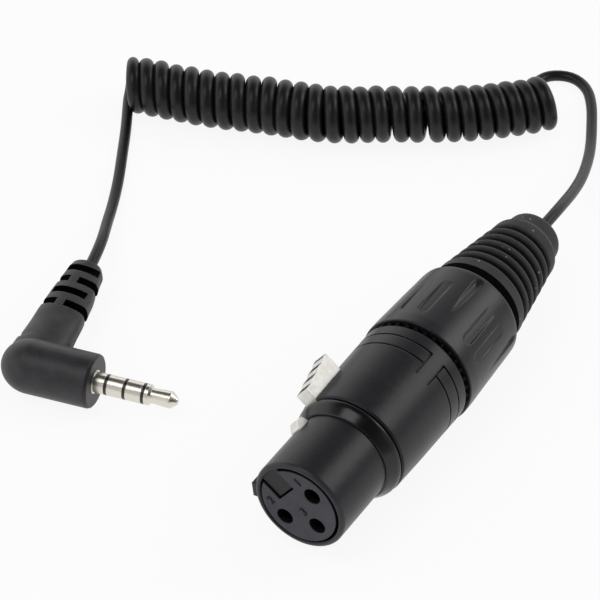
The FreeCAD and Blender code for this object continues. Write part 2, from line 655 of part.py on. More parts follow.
def make_chuck():
    """Plastic clamp whose four fingers close on the cord."""
    body = new_body("chuck")
    grip_start = f"{FINGER_TIPS} - chuck_grip"
    profile = [
        (CHUCK, "chuck_bore_r"),
        (CHUCK, f"{CHAMBER} - fit"),
        (CHUCK_COLLAR_END, f"{CHAMBER} - fit"),
        (CHUCK_COLLAR_END, f"{BOOT_BORE} - chuck_root_play"),
        (FINGER_TIPS, "boot_throat - chuck_play"),
        (FINGER_TIPS, "cord_r + fit"),
        (grip_start, "cord_r + fit"),
        (f"{grip_start} - chuck_lead", "chuck_bore_r"),
    ]
    revolve(body, outline(body, "XZ_Plane", "clamp", profile))
    slit = box(f"{CHUCK_COLLAR_END} + chuck_lead", f"-{CHAMBER}", f"{FINGER_TIPS} + overrun", CHAMBER)
    extrude(body, outline(body, "XZ_Plane", "slit_upright", slit), "chuck_slit", cut=True)
    extrude(body, outline(body, "XY_Plane", "slit_level", slit), "chuck_slit", cut=True)
    connector_parts.append(body)


def make_nut():
    """Clamping nut with thumb flutes."""
    body = new_body("nut")
    bore = f"{THREAD_R} + 2 * fit"
    profile = [
        (NUT, bore),
        (NUT, f"{NUT_R} - nut_edge"),
        (f"{NUT} + nut_edge", NUT_R),
        (f"{NUT} + nut_land", NUT_R),
        (f"{NUT} + nut_mid_x", f"{NUT_R} - nut_mid_fall"),
    ]
    back = (f"{NUT_END} - nut_back_edge", f"{NUT_R} - nut_back_fall")
    profile += quarter(back, (NUT_END, NUT_LIP), radial_first=False)
    profile += [
        (NUT_END, f"{STEM_R} + fit"),
        (f"{NUT} + nut_step_x", f"{STEM_R} + fit"),
        (f"{NUT} + nut_step_x", bore),
    ]
    revolve(body, outline(body, "XZ_Plane", "turning", profile))
    flutes = [deep_flute(body)]
    pitch = 360 / size("flute_groups") / 3
    flutes += [shallow_flute(body, number, number * pitch) for number in (1, 2)]
    ring_of(body, flutes, int(size("flute_groups")))
    connector_parts.append(body)


def deep_flute(body):
    """A cone sunk along the nut: it starts as a point and ends round, like a thumb's print."""
    point = f"{NUT} + deep_front"
    wide = f"{point} + deep_length - deep_r"
    end = f"{point} + deep_length"
    corners = [(point, "0")] + quarter((wide, "deep_r"), (end, "0"), radial_first=False)
    sketch = outline(body, "XZ_Plane", "deep_flute", corners)
    sketch.setExpression("AttachmentOffset.Base.y", bound(f"{NUT_R} - deep_sink"))
    cut = body.newObject("PartDesign::Groove", "nut_deep_flute")
    cut.Profile = sketch
    cut.ReferenceAxis = (sketch, ["H_Axis"])
    cut.Angle = 360
    return cut


def shallow_flute(body, number, turn):
    """A flat-floored slot with a round front. The nut's taper runs down to its floor, so it fades out backwards."""
    front = f"{NUT} + shallow_front"
    round_middle = f"{front} + shallow_half"
    back = f"{front} + shallow_length"
    sketch = new_sketch(body, "XY_Plane", f"shallow_flute_{number}", turn=turn)
    across, rise = math.sin(math.radians(turn)), math.cos(math.radians(turn))
    floor = f"({NUT_R} - shallow_sink)"
    sketch.setExpression("AttachmentOffset.Base.y", bound(f"-{across:.6f} * {floor}"))
    sketch.setExpression("AttachmentOffset.Base.z", bound(f"{rise:.6f} * {floor}"))
    top, low = Vector(1, 1, 0), Vector(1, -1, 0)
    far_top, far_low = Vector(START_RADIUS, 1, 0), Vector(START_RADIUS, -1, 0)
    sketch.addGeometry(Part.Arc(top, Vector(0, 0, 0), low), False)
    for start, end in ((low, far_low), (far_low, far_top), (far_top, top)):
        sketch.addGeometry(Part.LineSegment(start, end), False)
    for first, first_end, second, second_end in ((0, 2, 1, 1), (1, 2, 2, 1), (2, 2, 3, 1), (3, 2, 0, 1)):
        sketch.addConstraint(Sketcher.Constraint("Coincident", first, first_end, second, second_end))
    sketch.addConstraint(Sketcher.Constraint("Horizontal", 1))
    sketch.addConstraint(Sketcher.Constraint("Vertical", 2))
    sketch.addConstraint(Sketcher.Constraint("Horizontal", 3))
    sketch.addConstraint(Sketcher.Constraint("PointOnObject", 0, 3, -1))
    sketch.addConstraint(Sketcher.Constraint("Vertical", 3, 2, 0, 3))
    number = sketch.addConstraint(Sketcher.Constraint("DistanceX", -1, 1, 0, 3, 1))
    sketch.setExpression(f"Constraints[{number}]", bound(round_middle))
    number = sketch.addConstraint(Sketcher.Constraint("DistanceX", -1, 1, 1, 2, START_RADIUS))
    sketch.setExpression(f"Constraints[{number}]", bound(back))
    number = sketch.addConstraint(Sketcher.Constraint("Radius", 0, 1))
    sketch.setExpression(f"Constraints[{number}]", bound("shallow_half"))
    cut = body.newObject("PartDesign::Pocket", sketch.Name + "_pocket")
    cut.Profile = sketch
    cut.Reversed = True
    cut.setExpression("Length", bound("shallow_sink + overrun"))
    return cut


def rib_corners():
    """Outline of the ribs and the grooves between them, front to back."""
    corners = []
    for rib in range(int(size("rib_count")) + 1):
        front = f"{COLLAR_END} + {rib} * rib_pitch"
        rib_start = f"{front} + rib_pitch - rib_width"
        before = f"{COLLAR_R} - {rib} * rib_fall - rib_shy"
        after = f"{COLLAR_R} - {rib + 1} * rib_fall - rib_shy"
        corners.append((front, before))
        corners.append((f"{front} + groove_draft", f"{before} - groove_depth"))
        corners.append((f"{rib_start} - groove_draft", f"{after} - groove_depth"))
        corners.append((rib_start, after))
    return corners


def make_boot():
    """Rubber boot with its stem inside the nut, ribs and cap."""
    body = new_body("boot")
    flange = f"{NUT} + nut_step_x - boot_flange"
    ribs_end = f"{COLLAR_END} + (rib_count + 1) * rib_pitch - rib_width"
    cap = f"{ribs_end} + band_length + cap_step"
    cap_end = f"{cap} + cap_length"
    profile = [
        (flange, BOOT_BORE),
        (flange, THREAD_R),
        (f"{flange} + boot_flange", THREAD_R),
        (f"{flange} + boot_flange", STEM_R),
        (f"{NUT_END} + fit", STEM_R),
        (f"{NUT_END} + fit", NECK_R),
        (NECK_END, NECK_R),
        (NECK_END, COLLAR_R),
    ]
    profile += rib_corners()
    profile += [
        (f"{ribs_end} + band_length", "band_back_r"),
        (cap, "cap_r"),
        (cap_end, "cap_back_r"),
        (cap_end, "cord_r + fit"),
        (f"{THROAT} + chuck_lead", "cord_r + fit"),
        (THROAT, "boot_throat"),
    ]
    moulding = revolve(body, outline(body, "XZ_Plane", "moulding", profile))
    round_edge(body, moulding, (boot_end(), size("cap_back_r")), "cap_round", "cap_edge")
    connector_parts.append(body)


def boot_end():
    """Length of the whole connector."""
    ribs = (size("rib_count") + 1) * size("rib_pitch") - size("rib_width")
    return total(COLLAR_END) + ribs + total("band_length + cap_step + cap_length")


def on_connector():
    """Place of everything that shares the connector's axis."""
    tilt = math.radians(size("key_tilt"))
    button_top = total(BUTTON_R) + BUTTON_STEPS * size("step_rise")
    reach = button_top * math.sin(tilt) + size("button_width") / 2 * math.cos(tilt)
    middle_y = (reach - total(NUT_R)) / 2
    turn = Rotation(Vector(1, 0, 0), -size("key_tilt"))
    return Placement(Vector(-boot_end() / 2, -middle_y, total(NUT_R)), turn)


def place_on_axis(item, offset):
    """Places an item off the connector's axis, by an offset in the connector's own directions."""
    item.Placement = on_connector() * Placement(offset, Rotation())


def smooth_path(points):
    """A path of straight runs joined by tangent arcs, each as large as its two runs allow."""
    edges = []
    radii = []
    here = points[0]
    for before, corner, after in zip(points, points[1:], points[2:]):
        run_in = corner - before
        run_out = after - corner
        turn = run_in.getAngle(run_out)
        reach = 0.45 * min(run_in.Length, run_out.Length)
        enter = corner - run_in.normalize() * reach
        leave = corner + run_out.normalize() * reach
        radius = reach / math.tan(turn / 2)
        radii.append(radius)
        inward = (leave - corner).normalize() + (enter - corner).normalize()
        depth = radius / math.cos(turn / 2) - radius
        middle = corner + inward.normalize() * depth
        edges.append(Part.LineSegment(here, enter).toShape())
        edges.append(Part.Arc(enter, middle, leave).toShape())
        here = leave
    edges.append(Part.LineSegment(here, points[-1]).toShape())
    return Part.Wire(edges), radii


def make_tube(label, points, radius, inner=False):
    """A solid round tube along a path of hand-chosen points."""
    corners = [Vector(*point) for point in points]
    direction = corners[1] - corners[0]
    path, radii = smooth_path(corners)
    section = Part.Wire([Part.makeCircle(radius, corners[0], direction)])
    solid = path.makePipeShell([section], True, True)
    expected = math.pi * radius ** 2 * path.Length
    print(f"{label}: length {path.Length:.1f}, volume share {solid.Volume / expected:.4f},",
          "arc radii", " ".join(f"{value:.1f}" for value in radii))
    if inner:
        return solid
    tube = doc.addObject("Part::Feature", label)
    tube.Label = label
    tube.Shape = solid
    return tube


def make_inside_cord():
    """The cord's end inside the boot, and its three cores up to the solder cups."""
    body = new_body("cable_inside")
    profile = box(CHUCK_COLLAR_END, "0", str(boot_end()), "cord_r")
    revolve(body, outline(body, "XZ_Plane", "jacket", profile))
    connector_parts.append(body)
    jacket = total(CHUCK_COLLAR_END)
    cup = total(DECK + " + cup_length")
    cores = []
    for number, (side, down) in enumerate(CONTACT_SITES, start=1):
        spots = [
            (jacket, size("core_offset")),
            (jacket - size("core_lead"), total("core_offset + core_drift")),
            (cup + size("core_bend"), total("contact_circle - core_inset")),
            (cup - size("core_dip"), size("contact_circle")),
        ]
        points = [(x, side * r, -down * r) for x, r in spots]
        cores.append(make_tube(f"core {number}", points, size("core_r"), inner=True))
    wires = doc.addObject("Part::Feature", "core_wires")
    wires.Label = "core_wires"
    wires.Shape = Part.makeCompound(cores)
    connector_parts.append(wires)


def relief_lean(along):
    """How far the bend relief has bent aside at a distance from the elbow."""
    return f"(-relief_bend * pow({along} / relief_length; 2))"


def make_plug_grip():
    """Moulded right-angle grip with a flattened, slitted bend relief."""
    body = new_body("plug_grip")
    socket_end = f"-jack_tail - {len(JACK_STACK) - 1} * tail_step - fit"
    profile = [
        ("-barrel_length", "0"),
        ("-barrel_length", "barrel_r"),
        ("-barrel_chamfer", "barrel_r"),
        ("0", "barrel_r - barrel_taper"),
        ("0", "jack_neck_r + fit"),
        ("-jack_flange_x", "jack_neck_r + fit"),
        ("-jack_flange_x", "jack_flange_r + fit"),
        (socket_end, "jack_flange_r + fit"),
        (socket_end, "0"),
    ]
    revolve(body, outline(body, "XZ_Plane", "barrel", profile))
    elbow = body.newObject("PartDesign::AdditiveSphere", "plug_grip_elbow")
    elbow.setExpression("Radius", bound("barrel_r"))
    elbow.setExpression("Placement.Base.x", bound("-barrel_length"))
    stations = [
        ("root", "relief_half", "relief_thick", "relief_root"),
        ("middle", "relief_mid_half", "relief_mid_thick", "relief_mid"),
        ("end", "relief_end_half", "relief_end_thick", "(relief_length - relief_chamfer)"),
        ("tip", "relief_end_half - relief_chamfer", "relief_end_thick - relief_chamfer", "relief_length"),
    ]
    sections = []
    for name, half, thick, along in stations:
        sections.append(ellipse(body, "XZ_Plane", f"relief_{name}", half, thick,
                                f"{relief_lean(along)} - barrel_length", f"-{along}"))
    relief = body.newObject("PartDesign::AdditiveLoft", "plug_grip_relief")
    relief.Profile = sections[0]
    relief.Sections = sections[1:]
    relief.Ruled = True
    relief.Closed = False
    for number in range(int(size("slit_count"))):
        along = f"(slit_first + {number} * slit_pitch)"
        centre = f"{relief_lean(along)} - barrel_length"
        corners = flat_slit(centre) if number % 2 else edge_slit(centre)
        for name, outline_corners in corners.items():
            sketch = outline(body, "XZ_Plane", f"slit_{number}_{name}", outline_corners, shift=f"-{along}")
            extrude(body, sketch, "slit_width", cut=True)
    plug_parts.append(body)


def flat_slit(centre):
    """A slit through the two flat faces of the relief, between bridges at its edges."""
    half = "((relief_end_half + relief_mid_half) / 2 - slit_bridge)"
    low, high = f"{centre} - {half}", f"{centre} + {half}"
    return {
        "top": box(low, "slit_core", high, "relief_thick + overrun"),
        "bottom": box(low, "-relief_thick - overrun", high, "-slit_core"),
    }


def edge_slit(centre):
    """A slit through the two edges of the relief, between bridges on its flat faces and round its core."""
    corners = {}
    for name, side in (("front", "1"), ("back", "-1")):
        inner = f"{centre} + {side} * slit_bridge"
        core = f"{centre} + {side} * (slit_core + slit_bridge / 3)"
        far = f"{centre} + {side} * (relief_half + overrun)"
        corners[name] = [
            (inner, "slit_core"),
            (inner, "relief_thick + overrun"),
            (far, "relief_thick + overrun"),
            (far, "-relief_thick - overrun"),
            (inner, "-relief_thick - overrun"),
            (inner, "-slit_core"),
            (core, "-slit_core"),
            (core, "slit_core"),
        ]
    return corners


JACK_STACK = [
    "jack_sleeve",
    "insulator_sleeve",
    "jack_ring_near",
    "insulator_ring",
    "jack_ring_far",
    "insulator_tip",
    "jack_tip",
]


def jack_station(edge):
    """Grip's face to one edge of the black bands: edge 1 is the front of the sleeve, the last one the tip's back."""
    band = (edge - 1) // 2
    side = "-" if edge % 2 else "+"
    return f"(band_first + {band} * band_pitch {side} band_width / 2)"


def make_jack():
    """The plug's shaft: nested turned pieces, each seated inside the one before."""
    last = len(JACK_STACK) - 1
    for order, label in enumerate(JACK_STACK):
        body = new_body(label)
        tail = f"-jack_tail - {order} * tail_step"
        outer = f"jack_bore_r - {order - 1} * layer - layer_gap"
        inner = f"jack_bore_r - {order} * layer"
        front = jack_station(order + 1)
        if order == 0:
            profile = [
                (tail, inner),
                (tail, "jack_flange_r"),
                ("-jack_flange_x - fit", "jack_flange_r"),
                ("-jack_flange_x - fit", "jack_neck_r"),
                ("0", "jack_neck_r"),
                ("0", "jack_r"),
                (front, "jack_r"),
                (front, inner),
            ]
        elif order < last:
            profile = [
                (tail, inner),
                (tail, outer),
                (jack_station(order), outer),
                (jack_station(order), "jack_r"),
                (front, "jack_r"),
                (front, inner),
            ]
        else:
            collar = f"{jack_station(order)} + tip_collar"
            waist = f"{collar} + tip_slope"
            profile = [
                (tail, "0"),
                (tail, outer),
                (jack_station(order), outer),
                (jack_station(order), "jack_r"),
                (collar, "jack_r"),
                (waist, "tip_waist_r"),
                (f"{waist} + tip_waist", "tip_waist_r"),
                ("tip_crest_x", "tip_crest_r"),
                ("tip_crest_x + tip_crown", "tip_crest_r"),
                ("jack_length", "tip_nose_r"),
                ("jack_length", "0"),
            ]
        revolve(body, outline(body, "XZ_Plane", "turning", profile))
        plug_parts.append(body)


# Routes of the cord and the coil, chosen by hand against the photograph, in the part's own frame
CONNECTOR_TAIL = [
    (43.8, -0.72, 10.05),
    (49.0, 0.0, 8.7),
    (54.8, 1.1, 6.7),
    (61.0, 2.6, 4.7),
    (67.5, 4.7, 2.8),
    (74.0, 7.2, 1.4),
    (80.4, 10.3, 1.05),
    (85.6, 13.0, 1.06),
    (89.8, 16.1, 1.06),
    (91.6, 20.2, 1.06),
    (89.5, 24.4, 1.06),
    (85.3, 25.2, 1.06),
    (81.5, 22.2, 1.05),
    (78.9, 18.9, 1.2),
]
PLUG_TAIL = [
    (3.4, 65.4, 4.1),
    (9.0, 68.4, 2.5),
    (14.8, 71.2, 1.3),
    (21.5, 74.5, 1.06),
    (28.5, 78.4, 1.06),
    (35.0, 82.0, 1.05),
    (40.0, 84.8, 1.2),
]
COIL_AXIS = [
    (41.9, 86.2),
    (44.9, 72.0),
    (49.4, 61.1),
    (52.7, 49.8),
    (58.7, 41.3),
    (64.5, 31.3),
    (70.9, 23.5),
    (78.1, 16.8),
]


def make_cords():
    """The two straight cords and the coil's outer shape."""
    axis = on_connector()
    exit_point = axis.multVec(Vector(boot_end(), 0, 0))
    tail = [tuple(exit_point)] + CONNECTOR_TAIL
    make_tube("cord_tail_connector", tail, size("cord_r"))
    end = Vector(-size("barrel_length") - size("relief_bend"), size("relief_length"), 0)
    relief_end = plug_place().multVec(end)
    make_tube("cord_tail_plug", [tuple(relief_end)] + PLUG_TAIL, size("cord_r"))
    coil = [(x, y, size("coil_r")) for x, y in COIL_AXIS]
    make_tube("cord_coil", coil, size("coil_r"))


def plug_place():
    """Place of the plug: its shaft lies level at the grip's own radius above the table."""
    turn = Rotation(Vector(0, 0, 1), size("plug_turn"))
    elbow = Vector(size("plug_x"), size("plug_y"), size("barrel_r"))
    return Placement(elbow + turn.multVec(Vector(size("barrel_length"), 0, 0)), turn)


make_shell()
make_shoulder_ring()
make_insert()
make_contacts()
make_latch()
make_latch_pin()
make_latch_spring()
make_toothed_ring()
make_chuck()
make_nut()
make_boot()
make_inside_cord()
make_plug_grip()
make_jack()
make_cords()
for item in connector_parts:
    item.Placement = on_connector()
for item in plug_parts:
    item.Placement = plug_place()
doc.recompute()

failed = [item.Name for item in doc.Objects if "Invalid" in item.State or "Error" in item.State]
if failed:
    raise RuntimeError("failed objects: " + ", ".join(failed))
pieces = [item for item in doc.Objects if item.TypeId in ("PartDesign::Body", "Part::Feature")]
for piece in pieces:
    if piece.Shape.isNull() or not piece.Shape.isValid():
        raise RuntimeError("bad shape: " + piece.Label)
os.makedirs("parts", exist_ok=True)
for piece in pieces:
    piece.Shape.exportStep(os.path.join("parts", piece.Label + ".step"))
print(len(pieces), "pieces written")
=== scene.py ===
import math

import bpy
from mathutils import Matrix, Vector


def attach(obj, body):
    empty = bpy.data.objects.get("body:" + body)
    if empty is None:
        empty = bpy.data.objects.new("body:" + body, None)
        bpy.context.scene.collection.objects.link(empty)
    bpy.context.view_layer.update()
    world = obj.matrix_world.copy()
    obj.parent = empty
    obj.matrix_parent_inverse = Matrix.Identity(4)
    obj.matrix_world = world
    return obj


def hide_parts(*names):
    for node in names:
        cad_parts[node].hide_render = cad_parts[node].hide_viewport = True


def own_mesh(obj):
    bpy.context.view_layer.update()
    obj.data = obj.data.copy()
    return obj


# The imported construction, in metres, with the connector lying along X and its mating face towards -X.
# Sizes of pieces that aren't times MM are in millimetres.
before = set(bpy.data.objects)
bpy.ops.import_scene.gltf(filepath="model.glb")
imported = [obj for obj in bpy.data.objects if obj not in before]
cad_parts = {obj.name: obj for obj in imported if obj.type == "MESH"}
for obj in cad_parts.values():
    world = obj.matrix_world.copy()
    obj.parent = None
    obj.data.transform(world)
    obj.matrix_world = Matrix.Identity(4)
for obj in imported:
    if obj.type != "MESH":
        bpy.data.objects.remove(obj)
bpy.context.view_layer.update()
MM = 0.001

# Housing: nose, grip and threaded spigot in one die casting of zinc alloy, coated satin black.
# The coat is baked on over blasted metal, which gives the eye a fine even grain under wide soft
# highlights. The rim of the nose has a painted highlight, and the bore and the creases have painted shade.

face_centre = Vector((-39.26, -0.714, 10.1)) * MM
nose_bore = 7.0 * MM


def linear(hex_text):
    """An sRGB colour written as six hex digits, in linear light."""
    levels = [int(hex_text[place:place + 2], 16) / 255 for place in (0, 2, 4)]
    light = [level / 12.92 if level <= 0.04045 else ((level + 0.055) / 1.055) ** 2.4 for level in levels]
    return (*light, 1.0)


def add(tree, kind, sockets=None, **options):
    """Adds a shader node, sets its options and sockets, and links the sockets that are given an output."""
    node = tree.nodes.new("ShaderNode" + kind)
    for option, value in options.items():
        setattr(node, option, value)
    for socket, value in (sockets or {}).items():
        if isinstance(value, bpy.types.NodeSocket):
            tree.links.new(value, node.inputs[socket])
        else:
            node.inputs[socket].default_value = value
    return node


def new_finish(name):
    """An empty node material, with the place on the piece that its patterns are drawn from."""
    finish = bpy.data.materials.new(name)
    finish.use_nodes = True
    finish.node_tree.nodes.clear()
    place = add(finish.node_tree, "TexCoord").outputs["Object"]
    return finish, finish.node_tree, place


def finished(finish, sockets):
    """Gives a finish its surface, a principled shader with these sockets."""
    surface = add(finish.node_tree, "BsdfPrincipled", sockets)
    add(finish.node_tree, "OutputMaterial", {"Surface": surface.outputs[0]})
    return finish


def noise(tree, place, size, detail, roughness=0.5):
    """A noise whose largest grains have a size in millimetres."""
    return add(tree, "TexNoise", {"Vector": place, "Scale": 1 / (size * MM), "Detail": detail,
                                  "Roughness": roughness}).outputs["Fac"]


def two_tones(tree, pattern, dark, light, low=0.0, high=1.0):
    """The colour of a pattern: dark up to a low level of it, and light from a high level on."""
    ramp = add(tree, "ValToRGB", {"Fac": pattern})
    for stop, level, tone in zip(ramp.color_ramp.elements, (low, high), (dark, light)):
        stop.position = level
        stop.color = linear(tone)
    return ramp.outputs["Color"]


def ranged(tree, value, start, end, low=0.0, high=1.0):
    """A value that goes from low to high while another goes from a start to an end."""
    return add(tree, "MapRange", {"Value": value, "From Min": start, "From Max": end,
                                  "To Min": low, "To Max": high}).outputs["Result"]


def mixed(tree, share, first, second):
    """The first colour where a share is 0, and the second where it is 1."""
    return add(tree, "MixRGB", {"Fac": share, "Color1": first, "Color2": second}).outputs["Color"]


def bumped(tree, pattern, depth, strength, normal=None):
    """The way that a surface faces when a pattern raises it by up to a depth in millimetres."""
    sockets = {"Height": pattern, "Distance": depth * MM, "Strength": strength}
    if normal is not None:
        sockets["Normal"] = normal
    return add(tree, "Bump", sockets).outputs["Normal"]


def rounded_edges(tree, radius):
    """The way that a surface faces when its edges are rounded by a radius in millimetres."""
    return add(tree, "Bevel", {"Radius": radius * MM}).outputs["Normal"]


def off_axis(tree, place):
    """How far a place lies behind the connector's mating face, and how far from the connector's axis."""
    offset = add(tree, "VectorMath", {0: place, 1: face_centre}, operation="SUBTRACT").outputs["Vector"]
    behind = add(tree, "SeparateXYZ", {"Vector": offset}).outputs["X"]
    across = add(tree, "VectorMath", {0: offset, 1: (0, 1, 1)}, operation="MULTIPLY").outputs["Vector"]
    return behind, add(tree, "VectorMath", {0: across}, operation="LENGTH").outputs["Value"]


def painted_crevice_shade(tree, size, colour, dark, shut=0.35, open_to=0.8):
    """Painted shade: a colour that turns dark where the piece itself closes off the light within a size
    in millimetres. Shut and open_to are the shares of open sky at which it is dark and at which it is plain."""
    sky = add(tree, "AmbientOcclusion", {"Distance": size * MM}, only_local=True, samples=8).outputs["AO"]
    return mixed(tree, ranged(tree, sky, shut, open_to), linear(dark), colour)


def dress(name, finish):
    """Gives a piece of the construction its finish."""
    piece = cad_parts[name]
    piece.data.materials.clear()
    piece.data.materials.append(finish)
    return piece


def baked_satin_coat():
    """Black baked coat on blasted zinc: grain of 0.12 mm and an orange peel of 0.9 mm. Edges are rounded a
    little, as a coat does that has flowed over them. The rim of the nose is painted paler as a highlight,
    and the bore is painted nearly black as shade."""
    finish, tree, place = new_finish("baked_satin_coat")
    peel = noise(tree, place, 0.9, 2.0)
    grain = noise(tree, place, 0.12, 3.0)
    behind, radius = off_axis(tree, place)
    # Painted shade makes the bore nearly black, and a painted highlight makes the rim of the nose paler.
    outside_bore_shade = ranged(tree, radius, nose_bore + 0.05 * MM, nose_bore + 0.2 * MM)
    past_rim_highlight = ranged(tree, behind, 0.3 * MM, 0.8 * MM)
    tone = two_tones(tree, peel, "19191C", "1E1E22", 0.35, 0.65)
    # Painted shade in the creases of the coat.
    coat = painted_crevice_shade(tree, 0.6, mixed(tree, past_rim_highlight, linear("2C2C32"), tone), "060606")
    low = bumped(tree, peel, 0.012, 0.6, rounded_edges(tree, 0.25))
    return finished(finish, {"Base Color": mixed(tree, outside_bore_shade, linear("050505"), coat), "IOR": 1.5,
                             "Roughness": ranged(tree, grain, 0.0, 1.0, 0.3, 0.4),
                             "Specular IOR Level": 0.3, "Normal": bumped(tree, grain, 0.004, 0.7, low)})


shell = dress("shell", baked_satin_coat())

# Shoulder ring: a soft rubber ring snapped round the root of the nose.
# It is moulded in a polished die, so it stays glossier than everything round it, and its front is
# a plain cone up to a small rounded edge.

shoulder_corners = [
    (12.8, 7.9, 0.0),
    (12.85, 8.3, 0.2),
    (14.5, 9.32, 0.45),
    (15.25, 9.42, 0.3),
    (15.25, 7.9, 0.0),
]
sharp_from = math.radians(50)


def put(name, data):
    """A new object in the scene."""
    piece = bpy.data.objects.new(name, data)
    bpy.context.scene.collection.objects.link(piece)
    return piece


def rounded(corners, steps=5):
    """An outline whose corners are drawn as short curves, each as large as its corner says."""
    line = []
    for number, (along_axis, out, size) in enumerate(corners):
        here = Vector((along_axis, out))
        before = Vector(corners[number - 1][:2])
        after = Vector(corners[(number + 1) % len(corners)][:2])
        start = here + (before - here).normalized() * min(size, (before - here).length / 2)
        end = here + (after - here).normalized() * min(size, (after - here).length / 2)
        for step in range(steps + 1 if size else 1):
            share = step / steps
            line.append(start.lerp(here, share).lerp(here.lerp(end, share), share))
    return line


def turned(name, corners, around=144, relief=None):
    """A round piece of the connector: a closed outline, in millimetres, carried round the connector's axis.
    A relief says how deep the surface is cut at a place along the axis, a radius and an angle."""
    line = rounded(corners)
    spots = []
    for turn in range(around):
        angle = 2 * math.pi * turn / around
        for point in line:
            out = point.y - (relief(point.x, point.y, angle) if relief else 0.0)
            spot = Vector((point.x, out * math.cos(angle), out * math.sin(angle)))
            spots.append(face_centre + spot * MM)
    count = len(line)
    faces = []
    for turn in range(around):
        here, there = turn * count, (turn + 1) % around * count
        for step in range(count):
            after = (step + 1) % count
            faces.append((here + step, here + after, there + after, there + step))
    mesh = bpy.data.meshes.new(name)
    mesh.from_pydata(spots, [], faces)
    mesh.shade_smooth()
    mesh.set_sharp_from_angle(angle=sharp_from)
    return put(name, mesh)


def polished_rubber():
    """Black nitrile rubber from a polished mould: a smooth gloss with faint flow marks."""
    finish, tree, place = new_finish("polished_rubber")
    flow = noise(tree, place, 1.6, 3.0)
    return finished(finish, {"Base Color": linear("0E0E10"), "IOR": 1.52, "Specular IOR Level": 0.4,
                             "Roughness": ranged(tree, flow, 0.0, 1.0, 0.18, 0.28),
                             "Normal": bumped(tree, flow, 0.01, 0.4)})


shoulder_ring = turned("snap_ring", shoulder_corners)
shoulder_ring.data.materials.append(polished_rubber())
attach(shoulder_ring, "root")
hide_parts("shoulder_ring")

# Insert: the contact carrier, injection moulded in glass-filled nylon.
# Its face is spark eroded in the die, so it is an even dark grey with no clear reflections.


def spark_textured_nylon():
    """Dark grey glass-filled nylon: spark texture of 0.1 mm and hardly any gloss. Behind the face, holes and
    slot are painted black as shade."""
    finish, tree, place = new_finish("spark_textured_nylon")
    spark = noise(tree, place, 0.1, 4.0, 0.65)
    tone = two_tones(tree, noise(tree, place, 2.5, 2.0), "3A3A40", "434349", 0.3, 0.7)
    # Painted shade: the holes and slot are black from just behind the face.
    sunk_in_painted_shade = ranged(tree, off_axis(tree, place)[0], 0.08 * MM, 0.25 * MM)
    return finished(finish, {"Base Color": mixed(tree, sunk_in_painted_shade, tone, linear("040404")), "IOR": 1.53,
                             "Roughness": 0.62, "Specular IOR Level": 0.3,
                             "Normal": bumped(tree, spark, 0.012, 0.8)})


insert_nylon = spark_textured_nylon()
insert = dress("insert", insert_nylon)

# Contact numbers: 1, 2 and 3 stand a hair above the insert's face, next to their holes.
# They are cut into the die of the insert, so they have its grey nylon.

key_way = Vector((0, 0.81039, 0.58589))
hole_1_way = Vector((0, -key_way.z, key_way.y))
digit_height = 1.45 * MM
digit_of_font = 0.7
digit_relief = 0.12 * MM
digit_edge = 0.02 * MM
digit_places = {"1": (4.0, 3.0), "2": (-3.85, 3.3), "3": (0.0, -1.2)}
facing = Matrix((hole_1_way, key_way, Vector((-1, 0, 0)))).transposed().to_4x4()
for digit, (aside, up) in digit_places.items():
    text = bpy.data.curves.new("digit_" + digit, "FONT")
    text.body = digit
    text.align_x = "CENTER"
    text.align_y = "CENTER"
    text.size = digit_height / digit_of_font
    text.extrude = digit_relief
    text.bevel_depth = digit_edge
    text.materials.append(insert_nylon)
    piece = put("digit_" + digit, text)
    spot = face_centre + hole_1_way * (aside * MM) + key_way * (up * MM)
    piece.matrix_world = Matrix.Translation(spot) @ facing
    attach(piece, "root")

# Contacts: three turned brass sockets with solder cups, plated with silver.
# Turning leaves fine rings along them, which the plating follows.


def silver_plated_brass():
    """Silver plate over turned brass: warm white metal with turning rings 0.3 mm apart, with painted shade
    making it dark towards the mouth."""
    finish, tree, place = new_finish("silver_plated_brass")
    rings = add(tree, "TexWave", {"Vector": place, "Scale": 1 / (0.95 * MM), "Distortion": 0.6,
                                  "Detail": 2.0}, bands_direction="X").outputs["Fac"]
    # Painted shade: the contacts are dark up to 9 mm behind the face and plain from 14 mm.
    out_of_painted_shade = ranged(tree, off_axis(tree, place)[0], 9 * MM, 14 * MM)
    return finished(finish, {"Base Color": mixed(tree, out_of_painted_shade, linear("1D1F19"), linear("D8CFB8")),
                             "Metallic": 1.0, "Roughness": ranged(tree, rings, 0.0, 1.0, 0.22, 0.34),
                             "Normal": bumped(tree, rings, 0.003, 0.5)})


contact_plate = silver_plated_brass()
for number in (1, 2, 3):
    dress(f"contact_{number}", contact_plate)

# Latch: one cast rocker with the stepped push button outside and the hook in the nose.
# It is tumbled and plated with satin nickel, which looks nearly white. Its treads lean to the nose,
# and their upward faces are dark grey.

button_front = -23.36
tread_fronts = (-23.16, -20.96, -18.76, -16.56)
tread_length = 1.45
tread_lean = 0.22
tread_low = 9.9 * MM
edge_reach = 0.05
faces_up = 0.95


def satin_nickel():
    """Satin nickel over a tumbled casting: warm, nearly white metal with wide soft reflections."""
    finish, tree, place = new_finish("satin_nickel")
    cloud = noise(tree, place, 1.1, 3.0)
    marks = noise(tree, place, 0.2, 4.0)
    return finished(finish, {"Base Color": two_tones(tree, cloud, "E0DDD7", "EEECE7", 0.3, 0.7),
                             "Metallic": 1.0, "Roughness": ranged(tree, marks, 0.0, 1.0, 0.5, 0.62),
                             "Normal": bumped(tree, cloud, 0.02, 0.5, rounded_edges(tree, 0.15))})


def dark_tread():
    """The same casting on the upward faces of the treads: dark grey and matt, with a fine mottle."""
    finish, tree, place = new_finish("dark_tread")
    tone = two_tones(tree, noise(tree, place, 0.4, 4.0), "4C4A50", "6A686F")
    return finished(finish, {"Base Color": tone, "IOR": 1.1, "Roughness": 0.95, "Specular IOR Level": 0.0})


